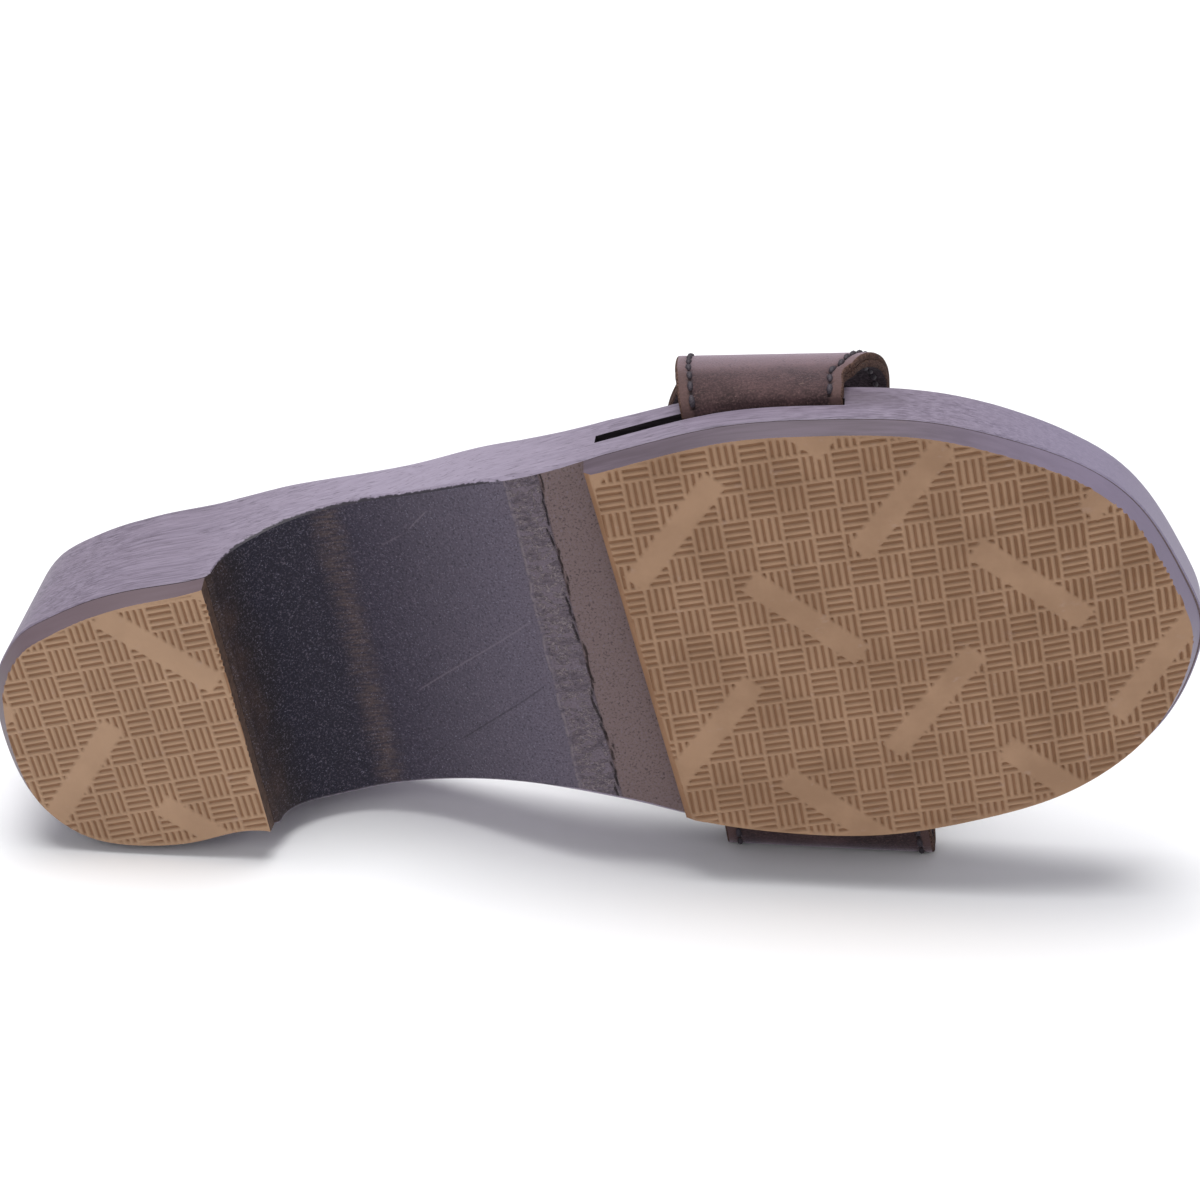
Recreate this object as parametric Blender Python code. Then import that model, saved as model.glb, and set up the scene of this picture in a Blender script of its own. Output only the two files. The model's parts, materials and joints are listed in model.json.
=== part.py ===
"""Wooden-soled footbed sandal with one strap, for the right foot, lying on its inner side.

The shoe is drawn in its own frame, in millimetres: X runs from heel to toe, +Y is the inner
(big toe) side, +Z is up through the foot, and the two treads stand on Z = 0. An empty then
lays the whole shoe down, so that the side of the heel and the strap touch the floor.
"""
from math import cos, pi, radians, sin

import bmesh
import bpy
import numpy as np

MM = 0.001

# Driving dimensions, in millimetres and degrees
SOLE_LENGTH = 248.5
TREAD_THICKNESS = 4.6
GLUE_GAP = 0.3
BREAST_X = 51.8
BREAST_LIP = 1.0
ARCH_X = 72.5
ARCH_Z = 22.5
LAND_X = 124.6
TREAD_REAR_X = 135.8
TREAD_BEVEL_LENGTH = 1.6
TREAD_BEVEL_DEPTH = 1.2
ROCKER_X = 191.0
TOE_SPRING = 6.0
STRAP_THICKNESS = 3.0
STRAP_TOP_REAR = 68.0
STRAP_TOP_FRONT = 60.0
STRAP_PEAK_Y = 6.0
STRAP_TUCK = 13.8
STRAP_LEAVE = 0.8
STRAP_BEND_HEIGHT = 10.0
STRAP_INNER_BEND_HEIGHT = 5.0
STRAP_SIDE_Y_REAR = -50.4
STRAP_SIDE_Y_FRONT = -46.0
STRAP_SIDE_TOP = 38.0
SLOT_Z = 13.5
SLOT_HEIGHT = 3.6
SLOT_DEPTH = 15.0
SLOT_OVERCUT = 9.0
SLOT_OUTER_X = (134.0, 184.6)
SLOT_INNER_X = (134.0, 191.5)
LYING_TURN = 10.9

# Outline of the wood where it meets the treads: distance from the heel, outer side and inner side
OUTLINE = np.array([
    # x, outer, inner
    (0.0, 1.5, 1.5),
    (1.8, -10.7, 15.2),
    (5.0, -16.2, 21.2),
    (10.0, -21.0, 26.4),
    (16.0, -23.5, 29.6),
    (25.0, -26.1, 31.6),
    (38.0, -27.6, 31.5),
    (51.5, -28.3, 30.4),
    (60.0, -30.1, 33.3),
    (72.0, -32.0, 34.2),
    (84.0, -34.0, 33.3),
    (95.0, -36.2, 31.9),
    (108.0, -39.3, 31.0),
    (122.0, -41.2, 33.2),
    (141.0, -43.6, 40.6),
    (160.0, -45.5, 46.2),
    (180.0, -44.1, 49.2),
    (200.0, -40.5, 48.2),
    (214.0, -34.8, 46.2),
    (229.0, -25.8, 40.6),
    (240.0, -13.0, 32.0),
    (246.0, 1.8, 22.4),
    (248.5, 12.5, 12.5),
])

# Height of the rim, extra height of its inner side over the arch, and depth of the footbed
FOOTBED = np.array([
    # x, rim, arch, depth
    (0.0, 44.2, 0.0, 0.0),
    (12.0, 45.0, 0.0, 2.6),
    (40.0, 45.0, 0.0, 4.8),
    (54.0, 45.0, 0.6, 4.6),
    (72.0, 41.0, 2.2, 3.8),
    (89.0, 35.6, 3.0, 3.2),
    (112.0, 29.6, 2.8, 2.4),
    (138.0, 24.9, 1.0, 2.0),
    (165.0, 23.8, 0.0, 2.0),
    (200.0, 24.0, 0.0, 2.0),
    (234.0, 24.7, 0.0, 1.4),
    (248.5, 25.8, 0.0, 0.0),
])

# Side of the shoe: slope of the tread's edge, lower chamfer, rounding of the rim, flare of the wall
EDGES = np.array([
    # x, tread inset, chamfer width, chamfer height, rim radius, outer flare, inner flare
    (0.0, 3.0, 0.3, 0.3, 4.0, 0.8, 0.8),
    (16.0, 2.4, 0.3, 0.3, 4.0, 0.9, -0.3),
    (30.0, 2.0, 0.3, 0.3, 4.0, 0.4, -0.3),
    (52.0, 1.0, 0.3, 0.3, 4.0, 0.9, -0.3),
    (60.0, 1.0, 0.8, 0.8, 4.0, 0.5, 0.0),
    (75.0, 1.0, 0.8, 0.8, 4.0, 0.5, 0.0),
    (95.0, 1.2, 0.8, 0.8, 3.8, 0.0, 0.0),
    (118.0, 1.4, 0.8, 0.8, 3.5, -0.5, 0.0),
    (129.0, 1.6, 0.8, 0.8, 3.5, -0.2, 0.0),
    (140.0, 1.9, 0.3, 0.3, 3.0, 0.1, 0.0),
    (165.0, 1.8, 0.3, 0.3, 3.0, 0.0, 0.1),
    (200.0, 1.8, 0.3, 0.3, 3.0, -0.3, 0.3),
    (214.0, 1.9, 0.3, 0.3, 3.0, 0.1, 0.6),
    (229.0, 2.0, 0.3, 0.3, 3.0, 0.0, 0.8),
    (240.0, 2.1, 0.3, 0.3, 3.0, 0.6, 1.0),
    (248.5, 2.1, 0.3, 0.3, 3.0, 1.2, 1.2),
])

# Slant of the crosswise lines of the underside, as a slope of x over y
SLANT = np.array([
    # x, slope
    (0.0, 0.0),
    (51.8, 0.02),
    (124.6, 0.054),
    (135.8, 0.085),
    (200.0, 0.035),
    (248.5, 0.0),
])

# Edges of the strap along its path, from the outer slot over the foot to the inner slot
STRAP_EDGES = np.array([
    # place on the path, rear x, front x
    (0.0, 152.0, 184.0),
    (1.0, 152.0, 184.0),
    (1.5, 151.6, 184.4),
    (2.0, 151.0, 186.6),
    (2.25, 150.4, 191.2),
    (2.4, 149.0, 192.4),
    (2.55, 144.4, 191.6),
    (2.7, 142.8, 190.4),
    (3.0, 142.5, 189.4),
    (4.0, 144.0, 189.0),
    (5.0, 145.4, 189.0),
    (6.0, 146.0, 188.5),
    (7.0, 146.0, 188.5),
])

# Resolution of the faceted surfaces
TOP_STEPS = 12
BOTTOM_STEPS = 6
RIM_STEPS = 3
STRAP_COLUMNS = 9
SLOT_SECTIONS = 8
OUTLINE_PASSES = 12

FLAT_Z = TREAD_THICKNESS + GLUE_GAP


def spline(knots, values, places):
    """Natural cubic curve through the knots, read at the given places."""
    step = np.diff(knots)
    slope = np.diff(values) / step
    count = len(knots)
    system = np.eye(count)
    bend = np.zeros(count)
    for row in range(1, count - 1):
        system[row, row - 1:row + 2] = step[row - 1], 2 * (step[row - 1] + step[row]), step[row]
        bend[row] = 6 * (slope[row] - slope[row - 1])
    bend = np.linalg.solve(system, bend)
    left = np.clip(np.searchsorted(knots, places) - 1, 0, count - 2)
    ahead = (places - knots[left]) / step[left]
    behind = 1 - ahead
    cubic = (behind ** 3 - behind) * bend[left] + (ahead ** 3 - ahead) * bend[left + 1]
    return behind * values[left] + ahead * values[left + 1] + cubic * step[left] ** 2 / 6


def outline_y(x, column):
    """Side of the wood at x. The curve runs over the angle of a half turn, so both ends are round."""
    turn = np.arccos(np.clip(1 - 2 * np.asarray(x) / SOLE_LENGTH, -1, 1))
    knots = np.arccos(1 - 2 * OUTLINE[:, 0] / SOLE_LENGTH)
    return spline(knots, OUTLINE[:, column], turn)


def toe_lift(x):
    """Rise of the underside in front of the ball, as a parabola up to the toe."""
    ahead = np.clip((x - ROCKER_X) / (SOLE_LENGTH - ROCKER_X), 0, None)
    return TOE_SPRING * ahead ** 2


def underside_z(x):
    """Height of the wood's underside: flat heel, hollow breast, arch, flat ball and toe spring."""
    foot = BREAST_X + BREAST_LIP
    share = np.clip((ARCH_X - x) / (ARCH_X - foot), 0, 1)
    breast = FLAT_Z + BREAST_LIP + (ARCH_Z - FLAT_Z - BREAST_LIP) * np.sqrt(1 - share ** 2)
    fall = np.clip((x - ARCH_X) / (LAND_X - ARCH_X), 0, 1)
    arch = FLAT_Z + (ARCH_Z - FLAT_Z) * (0.5 + 0.5 * np.cos(pi * fall))
    height = np.select([x <= BREAST_X, x <= ARCH_X], [np.full_like(x, FLAT_Z), breast], arch)
    return height + toe_lift(x)


def station_places():
    """Places along the shoe where its sections are cut, close together at the round ends."""
    quarter = np.linspace(0, pi / 2, 15)
    hollow = np.linspace(0, pi / 2, 9)
    ball_end = ROCKER_X + 5
    return np.unique(np.round(np.concatenate([
        BREAST_X * (1 - np.cos(quarter)),
        ARCH_X - (ARCH_X - BREAST_X - BREAST_LIP) * np.cos(hollow),
        np.linspace(ARCH_X, LAND_X, 10),
        np.linspace(LAND_X, TREAD_REAR_X, 3),
        np.linspace(TREAD_REAR_X + TREAD_BEVEL_LENGTH, ball_end, 11),
        ball_end + (SOLE_LENGTH - ball_end) * np.sin(quarter),
    ]), 6))


def slanted_crossing(station, column):
    """Points where the slanted crosswise lines meet one side of the outline."""
    slope = spline(SLANT[:, 0], SLANT[:, 1], station)
    x = station.copy()
    for _ in range(OUTLINE_PASSES):
        y = outline_y(x, column)
        x = np.clip(station + slope * y, 0, SOLE_LENGTH)
    return np.stack([x, y], axis=-1)


def outline_with_normals(station):
    """Both sides of the outline at each station, with the directions that point outwards."""
    outer = slanted_crossing(station, 1)
    inner = slanted_crossing(station, 2)
    ring = np.concatenate([outer, inner[-2:0:-1]])
    along = np.roll(ring, -1, axis=0) - np.roll(ring, 1, axis=0)
    normal = np.stack([along[:, 1], -along[:, 0]], axis=-1)
    normal /= np.linalg.norm(normal, axis=1, keepdims=True)
    count = len(station)
    inner_normal = np.concatenate([normal[:1], normal[:count - 2:-1]])
    return outer, normal[:count], inner, inner_normal


def offset_points(points, normals, inset, z):
    """Outline points moved inwards by an inset and lifted to a height."""
    flat = points - normals * np.asarray(inset)[:, None]
    return np.concatenate([flat, np.broadcast_to(z, len(points))[:, None]], axis=1)


def edge_columns(station):
    """Columns of the table of edges, read at the stations."""
    return (np.interp(station, EDGES[:, 0], column) for column in EDGES[:, 1:].T)


def wall_chain(points, normals, bottom, rim, chamfer, radius, flare):
    """Side of the wood from its lower edge over the chamfer and the wall to the rim.

    The wall leans out by the flare on its whole height above the flat of the sole.
    """
    width, height = chamfer
    shoulder = rim - radius
    crease = bottom + height
    lean = flare / (shoulder - FLAT_Z)
    middle = (crease + shoulder) / 2
    chain = [offset_points(points, normals, width - lean * (bottom - FLAT_Z), bottom)]
    for z in (crease, middle, shoulder):
        chain.append(offset_points(points, normals, -lean * (z - FLAT_Z), z))
    for step in range(1, RIM_STEPS + 1):
        turn = pi / 2 * step / RIM_STEPS
        inset = radius * (1 - cos(turn)) - flare
        chain.append(offset_points(points, normals, inset, shoulder + radius * sin(turn)))
    return np.stack(chain, axis=1)


def across(start, end, steps):
    """Inner points of straight crosswise rows, without their two ends."""
    share = np.linspace(0, 1, steps + 1)[1:-1]
    return share, start[:, None] + (end - start)[:, None] * share[None, :, None]


def wood_sections(station):
    """Closed sections of the wood, each from the outer lower edge round to the outer rim."""
    outer, outer_normal, inner, inner_normal = outline_with_normals(station)
    _, width, height, radius, outer_flare, inner_flare = edge_columns(station)
    rim, arch, depth = (spline(FOOTBED[:, 0], FOOTBED[:, k], station) for k in (1, 2, 3))
    bottom = underside_z(station)
    chamfer = width, height
    outer_wall = wall_chain(outer, outer_normal, bottom, rim, chamfer, radius, outer_flare)
    inner_wall = wall_chain(inner, inner_normal, bottom, rim + arch, chamfer, radius, inner_flare)
    _, bottom_row = across(outer_wall[:, 0], inner_wall[:, 0], BOTTOM_STEPS)
    share, top_row = across(inner_wall[:, -1], outer_wall[:, -1], TOP_STEPS)
    dish = 1 - np.abs(2 * share - 1) ** 4
    top_row[:, :, 2] -= np.clip(depth, 0, None)[:, None] * dish[None, :]
    return np.concatenate([bottom_row, inner_wall, top_row, outer_wall[:, ::-1]], axis=1)


def tread_sections(station, bevelled):
    """Closed sections of a rubber tread between the floor and the wood's underside."""
    outer, outer_normal, inner, inner_normal = outline_with_normals(station_places())
    keep = np.isin(station_places(), station)
    inset, width, *_ = edge_columns(station)
    top = underside_z(station) - GLUE_GAP
    low = top - TREAD_THICKNESS
    if bevelled:
        behind = np.clip(1 - (station - station[0]) / TREAD_BEVEL_LENGTH, 0, 1)
        low = low + TREAD_BEVEL_DEPTH * behind
    corner = {}
    for name, z, edge in (("low", low, np.maximum(inset, width)), ("top", top, width)):
        corner["outer", name] = offset_points(outer[keep], outer_normal[keep], edge, z)
        corner["inner", name] = offset_points(inner[keep], inner_normal[keep], edge, z)
    _, low_row = across(corner["outer", "low"], corner["inner", "low"], BOTTOM_STEPS)
    _, top_row = across(corner["inner", "top"], corner["outer", "top"], BOTTOM_STEPS)
    edges = {key: points[:, None] for key, points in corner.items()}
    return np.concatenate([edges["outer", "low"], low_row, edges["inner", "low"],
                           edges["inner", "top"], top_row, edges["outer", "top"]], axis=1)


def heel_support():
    """How far the side of the heel reaches towards the floor that the shoe lies on."""
    x = np.linspace(0, BREAST_X, 200)
    turn = radians(LYING_TURN)
    return np.max(outline_y(x, 2) * cos(turn) - x * sin(turn))


def strap_surface():
    """Middle surface of the strap, on a grid of path places by columns from its rear edge.

    The path leaves the outer slot, bends up in a quarter ellipse, crosses the foot in two quarter
    ellipses that meet level at the peak, comes down flat along the floor and bends into the inner slot.
    """
    pocket = np.linspace(0, 1, 3)
    bend = np.linspace(0, 1, 8)
    arch = np.linspace(0, 1, 15)
    side = np.linspace(0, 1, 4)
    runs = (pocket, bend, arch, arch, side, bend, pocket)
    place = np.unique(np.concatenate([start + run for start, run in enumerate(runs)]))
    column = np.linspace(0, 1, STRAP_COLUMNS)
    rear, front = (spline(STRAP_EDGES[:, 0], STRAP_EDGES[:, k], place) for k in (1, 2))
    x = rear[:, None] + (front - rear)[:, None] * column
    place = np.broadcast_to(place[:, None], x.shape)

    turn = radians(LYING_TURN)
    outer = outline_y(x, 1) - STRAP_LEAVE
    inner = outline_y(x, 2) + STRAP_LEAVE
    floor = (heel_support() - STRAP_THICKNESS / 2 + x * sin(turn)) / cos(turn)
    side_y = STRAP_SIDE_Y_REAR + (STRAP_SIDE_Y_FRONT - STRAP_SIDE_Y_REAR) * column
    peak = STRAP_TOP_REAR + (STRAP_TOP_FRONT - STRAP_TOP_REAR) * column - STRAP_THICKNESS / 2
    bend_top = SLOT_Z + STRAP_BEND_HEIGHT
    side_foot = SLOT_Z + STRAP_INNER_BEND_HEIGHT

    def angle(start):
        return (place - start) * pi / 2

    pieces = [
        (outer + STRAP_TUCK * (1 - place), SLOT_Z + 0 * place),
        (outer + (side_y - outer) * np.sin(angle(1)),
         SLOT_Z + STRAP_BEND_HEIGHT * (1 - np.cos(angle(1)))),
        (STRAP_PEAK_Y + (side_y - STRAP_PEAK_Y) * np.cos(angle(2)),
         bend_top + (peak - bend_top) * np.sin(angle(2))),
        (STRAP_PEAK_Y + (floor - STRAP_PEAK_Y) * np.sin(angle(3)),
         STRAP_SIDE_TOP + (peak - STRAP_SIDE_TOP) * np.cos(angle(3))),
        (floor, STRAP_SIDE_TOP + (side_foot - STRAP_SIDE_TOP) * (place - 4)),
        (inner + (floor - inner) * np.cos(angle(5)),
         SLOT_Z + STRAP_INNER_BEND_HEIGHT * (1 - np.sin(angle(5)))),
        (inner - STRAP_TUCK * (place - 6), SLOT_Z + 0 * place),
    ]
    run = np.clip(np.ceil(place) - 1, 0, len(pieces) - 1)
    y = np.select([run == k for k in range(len(pieces))], [piece[0] for piece in pieces])
    z = np.select([run == k for k in range(len(pieces))], [piece[1] for piece in pieces])
    return np.stack([x, y, z], axis=-1)


def slot_sections(reach, column, inwards):
    """Sections of the cutter for one slot, which follows the side of the wood at an even depth."""
    x = np.linspace(*reach, SLOT_SECTIONS)
    wall = outline_y(x, column)
    deep = wall + inwards * SLOT_DEPTH
    open_end = wall - inwards * SLOT_OVERCUT
    low = np.full_like(x, SLOT_Z - SLOT_HEIGHT / 2)
    high = np.full_like(x, SLOT_Z + SLOT_HEIGHT / 2)
    corners = [(open_end, low), (deep, low), (deep, high), (open_end, high)]
    return np.stack([np.stack([x, y, z], axis=-1) for y, z in corners], axis=1)


def material(name, colour, roughness):
    """Principled material of one colour."""
    finish = bpy.data.materials.new(name)
    finish.use_nodes = True
    shader = finish.node_tree.nodes["Principled BSDF"]
    shader.inputs["Base Color"].default_value = (*colour, 1.0)
    shader.inputs["Roughness"].default_value = roughness
    shader.inputs["Metallic"].default_value = 0.0
    finish.diffuse_color = (*colour, 1.0)
    return finish


def new_object(name, mesh, parent, finish=None):
    """Object for a mesh, laid down with its parent and shaded smooth up to its sharp edges."""
    piece = bpy.data.objects.new(name, mesh)
    bpy.context.scene.collection.objects.link(piece)
    piece.parent = parent
    mesh.shade_smooth()
    mesh.set_sharp_from_angle(angle=radians(35))
    if finish:
        mesh.materials.append(finish)
    return piece


def loft(name, sections):
    """Closed mesh through a row of closed sections, with its two ends capped or drawn to a seam."""
    rows, around = sections.shape[:2]
    shell = bmesh.new()
    grid = [[shell.verts.new(point * MM) for point in section] for section in sections]
    for row in range(rows - 1):
        for k in range(around):
            after = (k + 1) % around
            shell.faces.new((grid[row][k], grid[row + 1][k], grid[row + 1][after], grid[row][after]))
    spread = np.ptp(sections[:, :, 1], axis=1)
    for row in (0, rows - 1):
        if spread[row] > 1:
            shell.faces.new(grid[row])
    bmesh.ops.remove_doubles(shell, verts=shell.verts, dist=0.00001)
    bmesh.ops.recalc_face_normals(shell, faces=shell.faces)
    mesh = bpy.data.meshes.new(name)
    shell.to_mesh(mesh)
    shell.free()
    return mesh


def sheet(name, surface):
    """Open mesh of quads over a grid of points."""
    rows, columns = surface.shape[:2]
    number = np.arange(rows * columns).reshape(rows, columns)
    quads = np.stack([number[:-1, :-1], number[1:, :-1], number[1:, 1:], number[:-1, 1:]], axis=-1)
    mesh = bpy.data.meshes.new(name)
    mesh.from_pydata((surface.reshape(-1, 3) * MM).tolist(), [], quads.reshape(-1, 4).tolist())
    return mesh


def add_wood_sole(parent):
    """Carved wood with a slot cut into each side."""
    wood = new_object("wood_sole", loft("wood_sole", wood_sections(station_places())), parent,
                      material("stained_wood", (0.17, 0.13, 0.14), 0.55))
    slots = (("outer_slot_cutter", SLOT_OUTER_X, 1, 1.0), ("inner_slot_cutter", SLOT_INNER_X, 2, -1.0))
    for name, reach, column, inwards in slots:
        cutter = new_object(name, loft(name, slot_sections(reach, column, inwards)), parent)
        cutter.hide_render = True
        cutter.display_type = "WIRE"
        cut = wood.modifiers.new(name, "BOOLEAN")
        cut.operation = "DIFFERENCE"
        cut.solver = "EXACT"
        cut.object = cutter
    return wood


def add_treads(parent):
    """Rubber under the ball and under the heel."""
    station = station_places()
    rubber = material("tan_rubber", (0.27, 0.16, 0.09), 0.75)
    forefoot = loft("forefoot_tread", tread_sections(station[station >= TREAD_REAR_X], bevelled=True))
    heel = loft("heel_tread", tread_sections(station[station <= BREAST_X], bevelled=False))
    return [new_object(mesh.name, mesh, parent, rubber) for mesh in (forefoot, heel)]


def add_strap(parent):
    """Leather band: its middle surface, thickened to both sides."""
    strap = new_object("strap", sheet("strap", strap_surface()), parent,
                       material("brown_leather", (0.09, 0.055, 0.06), 0.8))
    wall = strap.modifiers.new("leather", "SOLIDIFY")
    wall.thickness = STRAP_THICKNESS * MM
    wall.offset = 0.0
    wall.use_even_offset = True
    return strap


def lay_down(parent, pieces):
    """Turn the shoe onto its inner side and put the middle of its footprint at the origin."""
    parent.rotation_mode = "ZYX"
    parent.rotation_euler = (-pi / 2, 0.0, -radians(LYING_TURN))
    bpy.context.view_layer.update()
    graph = bpy.context.evaluated_depsgraph_get()
    corners = []
    for piece in pieces:
        shape = piece.evaluated_get(graph)
        points = np.empty(len(shape.data.vertices) * 3)
        shape.data.vertices.foreach_get("co", points)
        turned = points.reshape(-1, 3) @ np.array(piece.matrix_world.to_3x3()).T
        corners += [turned.min(axis=0), turned.max(axis=0)]
    low, high = np.min(corners, axis=0), np.max(corners, axis=0)
    parent.location = (-(low[0] + high[0]) / 2, -(low[1] + high[1]) / 2, -low[2])


def main():
    for old in list(bpy.data.objects):
        bpy.data.objects.remove(old, do_unlink=True)
    lying = bpy.data.objects.new("lying_on_its_side", None)
    bpy.context.scene.collection.objects.link(lying)
    pieces = [add_wood_sole(lying), *add_treads(lying), add_strap(lying)]
    lay_down(lying, pieces)


main()
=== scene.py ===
# %% [markdown]
# A wooden-soled sandal, seen from below
#
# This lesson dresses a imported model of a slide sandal: a carved and stained wooden sole, two ribbed
# rubber treads and one leather strap. The shoe lies on its inner side, so the camera looks at its
# underside. Every piece is a surface worked out with numpy, and every finish is a small tree of shader
# nodes.

import json
from math import cos, pi, radians, sin

import bmesh
import bpy
import numpy as np
from mathutils import Matrix


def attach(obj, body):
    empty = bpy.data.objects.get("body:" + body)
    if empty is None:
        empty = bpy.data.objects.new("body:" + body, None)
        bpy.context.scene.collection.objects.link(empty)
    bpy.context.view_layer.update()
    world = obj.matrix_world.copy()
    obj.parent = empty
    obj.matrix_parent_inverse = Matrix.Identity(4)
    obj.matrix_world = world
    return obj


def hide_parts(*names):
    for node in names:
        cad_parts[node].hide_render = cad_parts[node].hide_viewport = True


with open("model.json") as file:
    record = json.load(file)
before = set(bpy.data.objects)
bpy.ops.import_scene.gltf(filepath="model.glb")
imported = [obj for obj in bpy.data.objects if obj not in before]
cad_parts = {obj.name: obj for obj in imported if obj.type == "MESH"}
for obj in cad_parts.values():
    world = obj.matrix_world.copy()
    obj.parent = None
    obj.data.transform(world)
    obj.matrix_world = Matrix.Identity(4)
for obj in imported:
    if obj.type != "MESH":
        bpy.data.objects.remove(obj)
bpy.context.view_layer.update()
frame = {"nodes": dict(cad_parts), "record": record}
print("solids in the frame:", sorted(frame["nodes"]))

# %% [markdown]
# The shoe's own frame
#
# A shoe is easiest to draw standing: x from heel to toe, y to the inner side, z up through the foot, in
# millimetres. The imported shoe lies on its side, so each finished array of points is turned and moved
# once. The turn is the one the solids were laid down with. The move could be typed in too, but reading
# it from the face under the ball, which the record places, keeps the pieces on the solids.

# %% Lay the shoe down
MM = 0.001
LYING_TURN = radians(10.9)
BALL_POINT = np.array([170.0, 4.0, 0.0])
TURN = np.array([
    [cos(LYING_TURN), sin(LYING_TURN), 0.0],
    [0.0, 0.0, 1.0],
    [sin(LYING_TURN), -cos(LYING_TURN), 0.0],
])
mount_places = {mount["name"]: np.array(mount["pos_m"]) / MM for mount in frame["record"]["mounts"]}
HEEL_PLACE = mount_places["forefoot_ground_face"] - TURN @ BALL_POINT


def lay_down(points):
    """Shoe points in millimetres, turned onto the inner side and moved into the frame, in metres."""
    return (points @ TURN.T + HEEL_PLACE) * MM


print("back of the heel in the frame, in mm:", np.round(HEEL_PLACE, 2))

# %% [markdown]
# Meshes from arrays
#
# A grid of points is all that a smooth piece needs: its quads follow from counting rows and columns. A
# few helpers cover every piece below. One numbers the quads of a grid. One makes the object, merges
# points that fall together (at the tip of the toe, say), turns the faces outwards and shades them smooth
# between sharp edges. Two more cut a piece with closed tools, and put a finished piece on the shoe.
# Sculpting could make such pieces too, but an array can be measured and made again exactly.

# %% Grid and piece helpers
MERGE_DISTANCE = 0.005 * MM
SHARP_TURN = 35.0


def grid_quads(rows, columns, closed=False):
    """Quads between neighbouring rows and columns. A closed grid joins its last column to its first."""
    number = np.arange(rows * columns).reshape(rows, columns)
    if closed:
        number = np.concatenate([number, number[:, :1]], axis=1)
    corners = [number[:-1, :-1], number[1:, :-1], number[1:, 1:], number[:-1, 1:]]
    return np.stack(corners, axis=-1).reshape(-1, 4)


def add_piece(name, points, faces, finishes, kinds=None, sharp=SHARP_TURN, marks=None):
    """Object from shoe points and faces. Kinds gives each face the number of its finish.

    Marks are numbers carried by the points, which the finishes can read by name.
    """
    mesh = bpy.data.meshes.new(name)
    mesh.from_pydata(lay_down(points.reshape(-1, 3)).tolist(), [], [list(face) for face in faces])
    for finish in finishes:
        mesh.materials.append(finish)
    if kinds is not None:
        mesh.polygons.foreach_set("material_index", np.asarray(kinds, dtype=np.int32))
    for mark, values in (marks or {}).items():
        mark_points(mesh, mark, values)
    shell = bmesh.new()
    shell.from_mesh(mesh)
    bmesh.ops.remove_doubles(shell, verts=shell.verts, dist=MERGE_DISTANCE)
    bmesh.ops.recalc_face_normals(shell, faces=shell.faces)
    shell.to_mesh(mesh)
    shell.free()
    shade(mesh, sharp)
    piece = bpy.data.objects.new(name, mesh)
    bpy.context.scene.collection.objects.link(piece)
    return piece


def mark_points(mesh, name, values):
    """Number for each point of a mesh."""
    mark = mesh.attributes.new(name, "FLOAT", "POINT")
    mark.data.foreach_set("value", np.asarray(values, dtype=np.float32).ravel())


def shade(mesh, sharp):
    """Smooth shading, with edges sharp where the surface turns by more than an angle in degrees."""
    mesh.shade_smooth()
    mesh.set_sharp_from_angle(angle=radians(sharp))


def cut_piece(name, piece, operation, *tools, solver="EXACT", sharp=SHARP_TURN):
    """New object for a piece after Boolean cuts with closed tools, which are then removed."""
    for tool in tools:
        cut = piece.modifiers.new(tool.name, "BOOLEAN")
        cut.operation = operation
        cut.solver = solver
        if solver == "EXACT":
            cut.material_mode = "TRANSFER"
        cut.object = tool
    graph = bpy.context.evaluated_depsgraph_get()
    mesh = bpy.data.meshes.new_from_object(piece.evaluated_get(graph))
    mesh.name = name
    shade(mesh, sharp)
    for used in (piece, *tools):
        bpy.data.objects.remove(used)
    result = bpy.data.objects.new(name, mesh)
    bpy.context.scene.collection.objects.link(result)
    return result


def settle(piece, slot, *nodes):
    """Put a finished piece on the shoe's one body, in place of the solids it dresses."""
    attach(piece, "root")
    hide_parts(*nodes)
    mesh = piece.data
    mesh.calc_loop_triangles()
    print(piece.name, "has", len(mesh.loop_triangles), "triangles")


print("a grid of 3 by 4 points has", len(grid_quads(3, 4)), "quads")

# %% [markdown]
# Shader maths as Python
#
# A procedural finish is arithmetic on the place of a point: noise, stripes, masks. In the node editor
# that is a web of Math nodes, which is hard to read. Here a small class wraps a socket, and its
# operators add the Math nodes, so a mask can be written as 1 - a * b. Any other node comes from one
# method.

# %% Socket and finish classes
class Socket:
    """One value in a material. Arithmetic on it adds Math nodes to the same material."""

    def __init__(self, finish, link):
        self.finish = finish
        self.link = link

    def math(self, operation, *others):
        sockets = dict(enumerate((self, *others)))
        return self.finish.node("ShaderNodeMath", {"operation": operation}, sockets)

    def __add__(self, other):
        return self.math("ADD", other)

    def __sub__(self, other):
        return self.math("SUBTRACT", other)

    def __rsub__(self, other):
        return self.finish.node("ShaderNodeMath", {"operation": "SUBTRACT"}, {0: other, 1: self})

    def __mul__(self, other):
        return self.math("MULTIPLY", other)

    def __truediv__(self, other):
        return self.math("DIVIDE", other)

    def __pow__(self, other):
        return self.math("POWER", other)

    __radd__ = __add__
    __rmul__ = __mul__


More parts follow.
